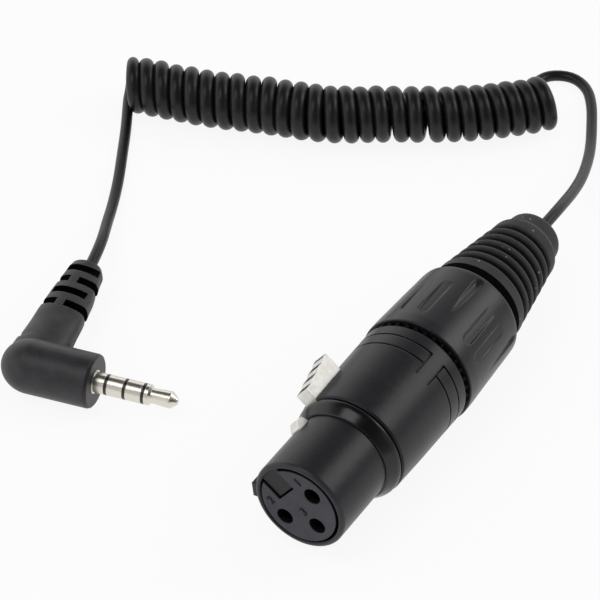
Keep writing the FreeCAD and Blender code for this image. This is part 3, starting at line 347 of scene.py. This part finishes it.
latch = put("stepped_latch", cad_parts["latch"].data.copy())
for vertex in latch.data.vertices:
    place_x = vertex.co.x / MM
    above = (vertex.co - face_centre).dot(key_way)
    if above > tread_low and any(abs(place_x - edge) < edge_reach for edge in (button_front, *tread_fronts)):
        vertex.co -= key_way * (tread_lean * MM)
latch.data.update()
latch.data.materials.clear()
latch.data.materials.append(satin_nickel())
latch.data.materials.append(dark_tread())
for face in latch.data.polygons:
    place_x = face.center.x / MM
    above = (face.center - face_centre).dot(key_way)
    on_tread = any(front < place_x < front + tread_length for front in tread_fronts)
    if face.normal.dot(key_way) > faces_up and above > tread_low and on_tread:
        face.material_index = 1
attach(latch, "latch")
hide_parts("latch")

# Latch pin and spring: the rocker turns on a drawn steel pin, and a small coil spring lifts its button.
# Both are left as drawn, a plain grey steel with fine die marks.


def drawn_steel():
    """Drawn spring steel: grey metal with die marks of 0.05 mm."""
    finish, tree, place = new_finish("drawn_steel")
    marks = noise(tree, place, 0.05, 3.0)
    return finished(finish, {"Base Color": linear("A6A6A6"), "Metallic": 1.0,
                             "Roughness": ranged(tree, marks, 0.0, 1.0, 0.25, 0.45)})


steel = drawn_steel()
dress("latch_pin", steel)
spring = put("coil_spring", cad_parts["latch_spring"].data.copy())
spring.data.materials.clear()
spring.data.materials.append(steel)
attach(spring, "root")
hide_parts("latch_spring")
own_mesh(spring)

# Toothed ring: a thin moulded ring whose teeth grip the nut, so that it doesn't work loose.
# Moulded in plain black acetal, it shows as a row of dark beads between housing and nut.

ring_front = 34.85
ring_end = 36.15
ring_bore = 8.75
ring_skin = 9.0
ring_r = 9.75
tooth_count = 36
tooth_steps = 12
tooth_round = 0.6
tooth_flank = (0.3, 0.95)
tooth_gap_depth = 0.5
teeth_corners = [
    (ring_front, ring_bore, 0.0),
    (ring_front, ring_r, tooth_round),
    (ring_end, ring_r, tooth_round),
    (ring_end, ring_bore, 0.0),
]


def moulded_acetal():
    """Black acetal as moulded: deep black with a low waxy sheen."""
    finish, tree, place = new_finish("moulded_acetal")
    haze = noise(tree, place, 0.7, 3.0)
    return finished(finish, {"Base Color": linear("020203"), "IOR": 1.48, "Specular IOR Level": 0.09,
                             "Roughness": ranged(tree, haze, 0.0, 1.0, 0.4, 0.55)})


def soft_step(value, low, high):
    """0 below a range and 1 above it, with a smooth rise between."""
    share = min(max((value - low) / (high - low), 0.0), 1.0)
    return share * share * (3 - 2 * share)


def tooth_gaps(along_axis, out, angle):
    """How deep the ring is cut between its teeth."""
    crest = 0.5 + 0.5 * math.cos(tooth_count * angle)
    return tooth_gap_depth * (1 - soft_step(crest, *tooth_flank)) if out > ring_skin else 0.0


toothed_ring = turned("beaded_ring", teeth_corners, around=tooth_steps * tooth_count, relief=tooth_gaps)
toothed_ring.data.materials.append(moulded_acetal())
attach(toothed_ring, "root")
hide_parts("toothed_ring")

# Chuck: the four-fingered clamp inside the nut, moulded in natural nylon.
# Natural nylon is a milky off-white that light goes a little way into.


def natural_nylon():
    """Natural nylon: milky off-white with a soft skin."""
    finish, tree, place = new_finish("natural_nylon")
    tone = two_tones(tree, noise(tree, place, 3.0, 2.0), "D2CFC3", "E0DDD2")
    return finished(finish, {"Base Color": tone, "IOR": 1.53, "Roughness": 0.4, "Subsurface Weight": 0.2,
                             "Subsurface Radius": (MM, MM, 0.8 * MM)})


chuck = dress("chuck", natural_nylon())

# Nut: the clamping nut with thumb flutes, moulded in black nylon and screwed on the spigot.
# Its skin is satin, smoother than the housing's coat. In each fifth of a turn it has one deep spear
# and two flutes with flat floors, whose edges stay crisp.

nut_front = ring_end
nut_shoulder = 45.55
nut_end = 52.8
nut_bore = 8.7
nut_neck_bore = 7.55
nut_skin = 9.0
nut_r = 10.1
nut_end_r = 9.44
nut_outline = [(nut_front, nut_r), (38.15, nut_r), (43.15, 9.9), (52.1, 9.5), (nut_end, nut_end_r)]
nut_around = 480
nut_lead = 0.45
nut_step = 0.2
nut_steps = 78
fifth = 72
spear_turn = -1.5
flat_turns = (26.5, 46.5)
spear_front = nut_front + 5.9
spear_length = 9.8
spear_half = 0.85
spear_round = 1.5
spear_depth = 0.5
flat_front = nut_front + 3.15
flat_length = 9.2
flat_half = 0.85
flat_depth = 0.36
flat_edge = 0.3
flat_fade = 0.7


def satin_nylon():
    """Black nylon with a satin skin: wide highlights, scuffs of 0.08 mm, and painted shade in its flutes."""
    finish, tree, place = new_finish("satin_nylon")
    skin = noise(tree, place, 0.35, 4.0)
    scuff = noise(tree, place, 0.08, 2.0)
    # Painted shade in the flutes.
    tone = painted_crevice_shade(tree, 0.3, two_tones(tree, skin, "19191C", "1E1E22", 0.3, 0.7), "060607")
    return finished(finish, {"Base Color": tone, "IOR": 1.53, "Specular IOR Level": 0.34,
                             "Roughness": ranged(tree, scuff, 0.0, 1.0, 0.28, 0.38),
                             "Normal": bumped(tree, skin, 0.006, 0.5)})


def between(stations, place):
    """A value on a line through stations, read between the two stations beside a place."""
    for (start, first), (end, second) in zip(stations, stations[1:]):
        if place < end:
            return first + (place - start) * (second - first) / (end - start)
    return stations[-1][1] + place - stations[-1][0]


def beside(turn, middle, out):
    """How far a place on the nut lies beside the nearest flute of a kind, from the turn and the radius."""
    return abs(math.radians((turn - middle + fifth / 2) % fifth - fifth / 2)) * out


def flutes(along_axis, out, angle):
    """How deep the nut is cut: in each fifth of the turn one spear with a round end, and two flutes with
    flat floors."""
    if out < nut_skin:
        return 0.0
    turn = math.degrees(angle - math.atan2(key_way.z, key_way.y))
    past_tip = along_axis - spear_front
    to_round = spear_length - spear_round
    if past_tip > 0:
        reached = min(1.0, past_tip / to_round)
        beyond = max(0.0, past_tip - to_round)
        across = beside(turn, spear_turn, out)
        depth = spear_depth * (reached - (across / spear_half) ** 2 - (beyond / spear_round) ** 2)
        if depth > 0:
            return depth
    past_front = along_axis - flat_front
    if not 0 < past_front < flat_length:
        return 0.0
    half = flat_half
    if past_front < flat_half:
        half = math.sqrt(flat_half ** 2 - (flat_half - past_front) ** 2)
    across = min(beside(turn, middle, out) for middle in flat_turns)
    fade = 1 - past_front / flat_length
    return flat_depth * fade ** flat_fade * soft_step(half - across, -flat_edge / 2, flat_edge / 2)


nut_corners = [(nut_front, nut_bore, 0.0), (nut_front, nut_r, 0.25)]
for step in range(nut_steps):
    along_nut = nut_front + nut_lead + nut_step * step
    nut_corners.append((along_nut, between(nut_outline, along_nut), 0.0))
nut_corners += [
    (nut_end, nut_end_r, 0.45),
    (nut_end, nut_neck_bore, 0.0),
    (nut_shoulder, nut_neck_bore, 0.0),
    (nut_shoulder, nut_bore, 0.0),
]
nut = turned("fluted_nut", nut_corners, around=nut_around, relief=flutes)
nut.data.materials.append(satin_nylon())
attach(nut, "root")
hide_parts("nut")

# Boot: the ribbed bend relief that the nut holds, moulded in soft thermoplastic rubber with rounded ribs.
# It drinks light and keeps pale specks of dust on its ribs and collar, and its grooves have painted shade,
# while its neck behind the nut is deep black.

flange_front = 44.75
flange_r = 8.6
neck_r = 7.5
lip_front = nut_end + 0.05
lip_r = 8.5
neck_end = 55.15
collar_end = 57.45
collar_r = 8.4
rib_pitch = 2.27
rib_width = 1.15
rib_fall = 0.33
rib_shy = 0.12
rib_round = 0.5
groove_depth = 1.15
groove_round = 0.35
groove_flank = 0.15
rib_count = 5
band_start = collar_end + (rib_count + 1) * rib_pitch - rib_width
band_r = collar_r - rib_shy - (rib_count + 1) * rib_fall
boot_end = 78.52
boot_bore = 1.05
boot_corners = [
    (flange_front, 6.7, 0.0),
    (flange_front, flange_r, 0.0),
    (nut_shoulder, flange_r, 0.0),
    (nut_shoulder, neck_r, 0.0),
    (lip_front, neck_r, 0.0),
    (lip_front, lip_r, 0.1),
    (neck_end, lip_r, 0.1),
    (neck_end, collar_r, 0.05),
]
for rib in range(rib_count + 1):
    front = collar_end + rib * rib_pitch
    crest_front = front + rib_pitch - rib_width
    crest_before = collar_r - rib * rib_fall - rib_shy
    crest_after = crest_before - rib_fall
    boot_corners += [
        (front, crest_before, rib_round),
        (front + groove_flank, crest_before - groove_depth, groove_round),
        (crest_front - groove_flank, crest_after - groove_depth, groove_round),
        (crest_front, crest_after, rib_round),
    ]
boot_corners += [
    (band_start + 2.5, 6.08, 0.6),
    (band_start + 3.3, 5.1, 0.6),
    (76.65, 4.85, 1.4),
    (76.75, 2.0, 0.3),
    (boot_end, 1.5, 0.2),
    (boot_end, boot_bore, 0.0),
    (53.6, boot_bore, 0.0),
    (52.6, 4.3, 0.0),
]


def worked_out(tree, operation, first, second):
    """What a calculation with two values gives."""
    return add(tree, "Math", {0: first, 1: second}, operation=operation).outputs["Value"]


def dusty_rubber():
    """Matt black rubber: grain of 0.2 mm, and pale dust specks of about 0.3 mm, few and uneven. The grooves
    between the ribs are painted nearly black as shade."""
    finish, tree, place = new_finish("dusty_rubber")
    grain = noise(tree, place, 0.2, 5.0, 0.6)
    tone = two_tones(tree, noise(tree, place, 3.5, 3.0), "222223", "2F2F2F", 0.35, 0.7)
    speck = add(tree, "TexVoronoi", {"Vector": place, "Scale": 1 / (1.1 * MM), "Randomness": 1.0})
    near = ranged(tree, speck.outputs["Distance"], 0.09, 0.19, 1.0, 0.0)
    chosen = add(tree, "SeparateColor", {"Color": speck.outputs["Color"]}).outputs["Red"]
    few = ranged(tree, chosen, 0.78, 0.92)
    dusted = mixed(tree, worked_out(tree, "MULTIPLY", near, few), tone, linear("8C8C88"))
    behind, radius = off_axis(tree, place)
    # Painted shade: the grooves between the ribs are made nearly black by their depth below the crests.
    crests = ranged(tree, behind, collar_end * MM, band_start * MM, (collar_r - rib_shy) * MM, band_r * MM)
    groove = ranged(tree, worked_out(tree, "SUBTRACT", crests, radius), 0.1 * MM, 0.6 * MM)
    on_ribs = worked_out(tree, "LESS_THAN", behind, band_start * MM)
    groove_painted_shade = worked_out(tree, "MULTIPLY", groove, on_ribs)
    return finished(finish, {"Base Color": mixed(tree, groove_painted_shade, dusted, linear("020202")), "IOR": 1.5,
                             "Roughness": 0.7, "Sheen Weight": 0.12, "Specular IOR Level": 0.3,
                             "Normal": bumped(tree, grain, 0.03, 0.7)})


def deep_black_rubber():
    """The same rubber on the neck behind the nut: deep black and matt, with hardly any gloss."""
    finish, tree, place = new_finish("deep_black_rubber")
    tone = two_tones(tree, noise(tree, place, 0.2, 5.0), "010101", "080808")
    return finished(finish, {"Base Color": tone, "IOR": 1.5, "Roughness": 0.9, "Specular IOR Level": 0.03})


boot = turned("ribbed_boot", boot_corners)
boot.data.materials.append(dusty_rubber())
boot.data.materials.append(deep_black_rubber())
for face in boot.data.polygons:
    if face.center.x - face_centre.x < neck_end * MM:
        face.material_index = 1
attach(boot, "root")
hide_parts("boot")

# Cores and cut end of the cord inside the connector: three stranded cores in coloured insulation,
# soldered into the contacts' cups, and the round jacket up to where it is stripped.


def extruded_insulation():
    """Red vinyl insulation: glossy, with faint waves from the extruder."""
    finish, tree, place = new_finish("extruded_insulation")
    tone = two_tones(tree, noise(tree, place, 0.8, 1.0), "8E2018", "A52A20")
    return finished(finish, {"Base Color": tone, "IOR": 1.53, "Roughness": 0.3})


def extruded_vinyl():
    """Black vinyl jacket: satin, with soft long highlights and a trace of bloom."""
    finish, tree, place = new_finish("extruded_vinyl")
    bloom = noise(tree, place, 4.0, 4.0)
    skin = noise(tree, place, 0.25, 3.0)
    return finished(finish, {"Base Color": two_tones(tree, bloom, "131315", "1A1A1D", 0.35, 0.7),
                             "IOR": 1.54, "Roughness": ranged(tree, bloom, 0.0, 1.0, 0.33, 0.42),
                             "Specular IOR Level": 0.28, "Normal": bumped(tree, skin, 0.008, 0.5)})


vinyl = extruded_vinyl()
dress("core_wires", extruded_insulation())
dress("cable_inside", vinyl)

# Plug grip: the right-angle grip with its slitted bend relief, moulded over the cord and the shaft.
# It is soft vinyl with a matt skin, faintly mottled where the melt met in the die. The construction's
# grip is made with straight slits at even steps, and here it is drawn to the shape that is seen.

elbow = Vector((-29.84, 56.47, 4.6)) * MM
plug_turn = math.radians(-77.6)
along_barrel = Vector((math.cos(plug_turn), math.sin(plug_turn), 0))
along_relief = Vector((-math.sin(plug_turn), math.cos(plug_turn), 0))
elbow_stretch = 1.13
barrel_length = 11.3
chamfer_made = 1.1
chamfer_seen = 0.5
chamfer_reach = 0.01
rim_middle = -0.5
rim_from_r = 3.9
rim_grow = 0.3 / 3.95
relief_start = 4.7
relief_end = 28.1
relief_end_seen = 26.7
relief_widths = [(0.0, 4.5), (2.0, 4.5), (18.6, 3.58), (27.3, 2.8), (relief_end, 2.7)]
relief_thicknesses = [(0.0, 3.1), (2.0, 3.1), (18.6, 2.45), (27.3, 1.95)]
relief_bend = 0.7
relief_widen = 1.08
widen_run = 2.0
cap_start = 25.9
cap_run = 1.0
cap_taper = 0.28
slits_made = (15.3, 18.6, 21.9, 25.2)
slits_seen = (14.0, 17.3, 20.45, 23.65)
slit_half_made = 0.575
slit_half_seen = 0.8
slits_fade_in = (9.0, 14.0)
wall_facing = 0.9
wall_reach = 0.03
skin_from = 0.93
bridge_made = 0.7
bridge_seen = 0.4
core_half = 0.625
core_half_seen = 0.7
core_shift = 0.6
side_margin = 1.0
relief_stations = [(0.0, 0.0), (4.0, 4.0)]
for made, seen in zip(slits_made, slits_seen):
    relief_stations.append((made - slit_half_made, seen - slit_half_seen))
    relief_stations.append((made + slit_half_made, seen + slit_half_seen))
relief_stations.append((relief_end, relief_end_seen))


def moulded_vinyl():
    """Dark grey moulded vinyl: matt skin of 0.3 mm grain, mottled over 2 mm, with painted shade in its
    slits.
    """
    finish, tree, place = new_finish("moulded_vinyl")
    grain = noise(tree, place, 0.3, 4.0)
    tone = two_tones(tree, noise(tree, place, 2.0, 3.0), "1D1D20", "29292D", 0.35, 0.65)
    # Painted shade in the slits and creases.
    return finished(finish, {"Base Color": painted_crevice_shade(tree, 2.0, tone, "010101", 0.62, 0.9), "IOR": 1.53,
                             "Roughness": 0.45, "Specular IOR Level": 0.45,
                             "Normal": bumped(tree, grain, 0.015, 0.7, rounded_edges(tree, 0.3))})


def shaded_vinyl():
    """Painted shade: the same vinyl made near black down in the slits, where hardly any light comes out."""
    finish, tree, place = new_finish("shaded_vinyl")
    tone = two_tones(tree, noise(tree, place, 0.5, 3.0), "020203", "060608")
    return finished(finish, {"Base Color": tone, "IOR": 1.53, "Roughness": 0.8, "Specular IOR Level": 0.05})


plug_grip = put("slitted_grip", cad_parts["plug_grip"].data.copy())
in_slits = set()
for face in plug_grip.data.polygons:
    offset = (face.center - elbow) / MM
    out = offset.dot(along_relief)
    aside = offset.dot(along_barrel) + relief_bend * (out / relief_end) ** 2
    skin = (aside / between(relief_widths, out)) ** 2 + (offset.z / between(relief_thicknesses, out)) ** 2
    across_relief = abs(face.normal.dot(along_relief)) > wall_facing
    for made in slits_made:
        is_wall = across_relief and abs(abs(out - made) - slit_half_made) < wall_reach
        if is_wall or abs(out - made) < slit_half_made and skin < skin_from:
            in_slits.add(face.index)
for vertex in plug_grip.data.vertices:
    offset = (vertex.co - elbow) / MM
    out, up = offset.dot(along_relief), offset.z
    ahead = offset.dot(along_barrel)
    if out > relief_start:
        middle = -relief_bend * (out / relief_end) ** 2
        half = between(relief_widths, out)
        grown = half * (1 + (relief_widen - 1) * min(1.0, (out - relief_start) / widen_run))
        slit_end, slit_end_seen = half - bridge_made, grown - bridge_seen
        sides = [(-half - side_margin, -grown - side_margin), (-half, -grown), (-slit_end, -slit_end_seen),
                 (-core_half, -core_half - core_shift), (core_half, core_half_seen - core_shift),
                 (slit_end, slit_end_seen), (half, grown), (half + side_margin, grown + side_margin)]
        slitted = soft_step(out, *slits_fade_in) * (1 - soft_step(out, cap_start, cap_start + cap_run))
        aside = ahead - middle
        widened = aside * grown / half * (1 - slitted) + between(sides, aside) * slitted
        if widened > 0 and out > cap_start:
            widened *= 1 - cap_taper * (out - cap_start) / (relief_end - cap_start)
        ahead = middle + widened
        out = between(relief_stations, out)
    elif ahead > barrel_length - chamfer_made - chamfer_reach and math.hypot(out, up) > rim_from_r:
        rim = (ahead - barrel_length) / chamfer_made
        grown = 1 + rim_grow if rim > rim_middle else 1.0
        out, up = out * grown, up * grown
        ahead = barrel_length + rim * chamfer_seen
    elif ahead < 0:
        ahead *= elbow_stretch
    vertex.co = elbow + (along_relief * out + along_barrel * ahead + Vector((0, 0, up))) * MM
plug_grip.data.update()
plug_grip.data.materials.clear()
plug_grip.data.materials.append(moulded_vinyl())
plug_grip.data.materials.append(shaded_vinyl())
# Painted shade: the faces in the slits get the near-black vinyl.
for face in plug_grip.data.polygons:
    face.material_index = 1 if face.index in in_slits else 0
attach(plug_grip, "root")
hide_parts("plug_grip")

# Shaft of the plug: four turned contacts, nested in each other and plated with bright nickel.
# Between them are three moulded black bands, ground flush with the metal.


def bright_nickel():
    """Bright nickel plate on turned brass: slightly warm, with turning marks of 0.1 mm that soften
    reflections."""
    finish, tree, place = new_finish("bright_nickel")
    marks = noise(tree, place, 0.1, 4.0)
    return finished(finish, {"Base Color": linear("E0DBD0"), "Metallic": 1.0,
                             "Roughness": ranged(tree, marks, 0.0, 1.0, 0.24, 0.34),
                             "Normal": bumped(tree, marks, 0.002, 0.5, rounded_edges(tree, 0.1))})


def ground_resin():
    """Black resin ground flush: smooth, with fine grinding marks."""
    finish, tree, place = new_finish("ground_resin")
    marks = noise(tree, place, 0.1, 2.0)
    return finished(finish, {"Base Color": linear("141414"), "IOR": 1.55,
                             "Roughness": ranged(tree, marks, 0.0, 1.0, 0.25, 0.4)})


nickel = bright_nickel()
jack = [dress(name, nickel) for name in ("jack_sleeve", "jack_ring_near", "jack_ring_far", "jack_tip")]
resin = ground_resin()
bands = [dress(name, resin) for name in ("insulator_sleeve", "insulator_ring", "insulator_tip")]

# Cord: one length of thin round vinyl cord, 2 mm thick where it runs straight. Its middle was wound
# on a mandrel and heat set, so it springs back into a tight coil of 27 turns, and the jacket is
# thicker there.

cord_points = [
    (39.26, -0.714, 10.1),
    (43.8, -0.72, 10.05),
    (49.0, 0.0, 8.7),
    (54.8, 1.1, 6.7),
    (61.0, 2.6, 4.7),
    (67.5, 4.7, 2.8),
    (74.0, 7.2, 1.4),
    (80.4, 10.3, 1.05),
    (85.6, 13.0, 1.06),
    (89.8, 16.1, 1.06),
    (91.6, 20.2, 1.06),
    (89.5, 24.4, 1.06),
    (85.3, 25.2, 1.06),
    (81.5, 22.2, 1.05),
]
plug_points = [
    (35.0, 82.0, 1.05),
    (28.5, 78.4, 1.06),
    (21.5, 74.5, 1.06),
    (14.8, 71.2, 1.3),
    (9.0, 68.4, 2.5),
    (3.4, 65.4, 4.1),
    (-2.545, 63.19, 4.6),
    (-5.8, 62.3, 4.6),
]
coil_points = [
    (78.1, 16.8),
    (70.9, 23.5),
    (64.5, 31.3),
    (58.7, 41.3),
    (52.7, 49.8),
    (49.4, 61.1),
    (44.9, 72.0),
    (41.9, 86.2),
]
straight_r = 1.0 * MM
wound_r = 1.43 * MM
turn_r_near = 3.69 * MM
turn_r_far = 3.89 * MM
slack = 0.08 * MM
slack_middle = 0.6
slack_spread = 0.14
unevenness = 0.05 * MM
unevenness_rate = 2.6
lift = 0.02 * MM
first_turn = 1.7 * MM
turn_count = 27
points_per_turn = 16
loose_turns = {7: 0.26, 9: 0.22}
last_pitch = 0.85
upright_share = 0.35
upright_middle = 0.5
upright_spread = 0.35
far_plane = Vector((-0.55, 0.835, 0.0))
far_share = 0.8
far_from = 0.55
swell_points = 3
shrink_points = 4
shrunk_points = 7


def nurbs(name, points, radii=None):
    """A curve of one open NURBS spline of order 3 through its end points."""
    curve = bpy.data.curves.new(name, "CURVE")
    curve.dimensions = "3D"
    spline = curve.splines.new("NURBS")
    spline.points.add(len(points) - 1)
    for number, point in enumerate(points):
        spline.points[number].co = (*point, 1.0)
        spline.points[number].radius = radii[number] if radii else 1.0
    spline.order_u = 3
    spline.use_endpoint_u = True
    return put(name, curve)


def along(points, share):
    """The place and the direction at a share of a polyline's length."""
    lengths = [(after - before).length for before, after in zip(points, points[1:])]
    left = min(max(share, 0.0), 1.0) * sum(lengths)
    for before, after, length in zip(points, points[1:], lengths):
        if left <= length or after is points[-1]:
            return before.lerp(after, left / length), (after - before).normalized()
        left -= length


def hump(value, middle, spread):
    """1 at a middle value, and falling off softly on both sides of it."""
    return math.exp(-((value - middle) / spread) ** 2)


axis_curve = nurbs("coil_axis", [Vector((x * MM, y * MM, 0.0)) for x, y in coil_points])
axis_curve.data.resolution_u = 24
axis_mesh = bpy.data.meshes.new_from_object(axis_curve)
axis_points = [vertex.co.copy() for vertex in axis_mesh.vertices]
bpy.data.objects.remove(axis_curve)
bpy.data.meshes.remove(axis_mesh)

coil_length = sum((after - before).length for before, after in zip(axis_points, axis_points[1:]))
pitches = [1.0 + loose_turns.get(turn, 0.0) for turn in range(turn_count - 1)] + [last_pitch]
wound = 0.0
turns = []
for step in range(turn_count * points_per_turn + 1):
    covered = first_turn / coil_length + (1 - first_turn / coil_length) * wound / sum(pitches)
    upright = upright_share * hump(covered, upright_middle, upright_spread)
    covered += upright * (math.cos(2 * math.pi * step / points_per_turn) - 1) / (2 * math.pi * sum(pitches))
    centre, forward = along(axis_points, covered)
    plane = forward.lerp(far_plane, far_share * soft_step(covered, far_from, 1.0)).normalized()
    away = plane.cross(Vector((0, 0, 1)))
    angle = math.pi - 2 * math.pi * step / points_per_turn
    turn_r = turn_r_near + (turn_r_far - turn_r_near) * covered
    turn_r += slack * hump(covered, slack_middle, slack_spread)
    turn_r += unevenness * math.sin(unevenness_rate * step / points_per_turn)
    centre.z = turn_r + wound_r + lift
    reach = turn_r / math.cos(math.pi / points_per_turn) ** 0.5
    turns.append(centre + reach * (math.cos(angle) * Vector((0, 0, 1)) - math.sin(angle) * away))
    if step < turn_count * points_per_turn:
        wound += pitches[step // points_per_turn] / points_per_turn

tail_near = [Vector(point) * MM for point in cord_points]
tail_far = [Vector(point) * MM for point in plug_points]
cord_line = tail_near + turns + tail_far
thin = straight_r / wound_r
radii = [thin] * len(tail_near)
for step in range(len(turns)):
    inward = min(step / swell_points, (len(turns) - shrunk_points - step) / shrink_points)
    radii.append(thin + (1 - thin) * max(0.0, min(1.0, inward)))
radii += [thin] * len(tail_far)
cord = nurbs("cord", cord_line, radii)
cord.data.resolution_u = 4
cord.data.bevel_depth = wound_r
cord.data.bevel_resolution = 7
cord.data.use_fill_caps = True
cord.data.materials.append(vinyl)
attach(cord, "root")
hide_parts("cord_tail_connector", "cord_coil", "cord_tail_plug")

# Stage: a plain white floor under soft studio light, none of it part of the object.
# The floor looks evenly white to the camera and in reflections, and still takes a soft shadow.

floor_size = 3.0
bpy.ops.mesh.primitive_plane_add(size=floor_size, location=(0, 0, 0))
floor = bpy.context.object
floor.name = "floor"
paper = bpy.data.materials.new("white_paper")
paper.use_nodes = True
fibres = paper.node_tree
fibres.nodes.clear()
seen = add(fibres, "LightPath")
direct = worked_out(fibres, "MAXIMUM", seen.outputs["Is Camera Ray"], seen.outputs["Is Glossy Ray"])
clear = worked_out(fibres, "MAXIMUM", direct, seen.outputs["Is Transmission Ray"])
share = worked_out(fibres, "MULTIPLY", clear, 0.9)
sheet = add(fibres, "BsdfDiffuse", {"Color": linear("F2F2F2")})
glow = add(fibres, "Emission", {"Color": (1, 1, 1, 1), "Strength": 1.0})
blend = add(fibres, "MixShader", {0: share, 1: sheet.outputs[0], 2: glow.outputs[0]})
add(fibres, "OutputMaterial", {"Surface": blend.outputs[0]})
floor.data.materials.append(paper)

# Studio: a white backdrop and an even sky, and for reflections a room that is pale at the sides,
# dark overhead, and dimmer on two sides of the connector.

room_way = (-0.8, -0.5, 0.33)
world = bpy.data.worlds.new("studio")
bpy.context.scene.world = world
world.use_nodes = True
air = world.node_tree
air.nodes.clear()
seen = add(air, "LightPath")
view = add(air, "TexCoord").outputs["Generated"]
look = add(air, "SeparateXYZ", {"Vector": view})
height = ranged(air, look.outputs["Z"], 0.5, 0.75, 1.2, 0.05)
side = ranged(air, look.outputs["Y"], -0.7, 0.0, 0.4, 1.0)
towards = add(air, "VectorMath", {0: view, 1: room_way}, operation="DOT_PRODUCT")
room = ranged(air, towards.outputs["Value"], 0.62, 0.92, 1.0, 0.2)
shade = worked_out(air, "MULTIPLY", worked_out(air, "MULTIPLY", height, side), room)
clear = worked_out(air, "MAXIMUM", seen.outputs["Is Camera Ray"], seen.outputs["Is Transmission Ray"])
mirrored = worked_out(air, "MULTIPLY", seen.outputs["Is Glossy Ray"], shade)
direct = worked_out(air, "MAXIMUM", clear, mirrored)
chosen = worked_out(air, "MAXIMUM", clear, seen.outputs["Is Glossy Ray"])
ambient = add(air, "Background", {"Color": (1, 1, 1, 1), "Strength": 0.6})
backdrop = add(air, "Background", {"Color": (1, 1, 1, 1), "Strength": direct})
sky = add(air, "MixShader", {0: chosen, 1: ambient.outputs[0], 2: backdrop.outputs[0]})
add(air, "OutputWorld", {"Surface": sky.outputs[0]})


def softbox(name, place, aim, width, watts):
    """A square area lamp that looks at a point."""
    lamp = bpy.data.lights.new(name, "AREA")
    lamp.size = width
    lamp.energy = watts
    piece = put(name, lamp)
    piece.location = place
    piece.rotation_mode = "QUATERNION"
    piece.rotation_quaternion = (Vector(aim) - Vector(place)).to_track_quat("-Z", "Y")


lit_middle = (0.03, 0.03, 0.0)
box_width = 0.45
softbox("key_box", (0.546, -0.469, 0.516), lit_middle, box_width, 1.7)
softbox("top_box", (-0.4, 0.2, 0.8), lit_middle, box_width, 1.5)

# Camera at the photograph's place: 41 degrees above the table, half a metre away.
# A long lens gives the weak perspective that the connector's rings show.

lens = bpy.data.cameras.new("camera")
lens.lens = 180.0
lens.sensor_width = 36.0
lens.clip_start = 0.01
camera = put("camera", lens)
camera_place = Vector((-317.26, -172.5, 335.0)) * MM
camera_aim = Vector((11.94, 30.59, 0.0)) * MM
camera.location = camera_place
camera.rotation_mode = "QUATERNION"
camera.rotation_quaternion = (camera_aim - camera_place).to_track_quat("-Z", "Y")
bpy.context.scene.camera = camera
bpy.context.scene.view_settings.view_transform = "Standard"
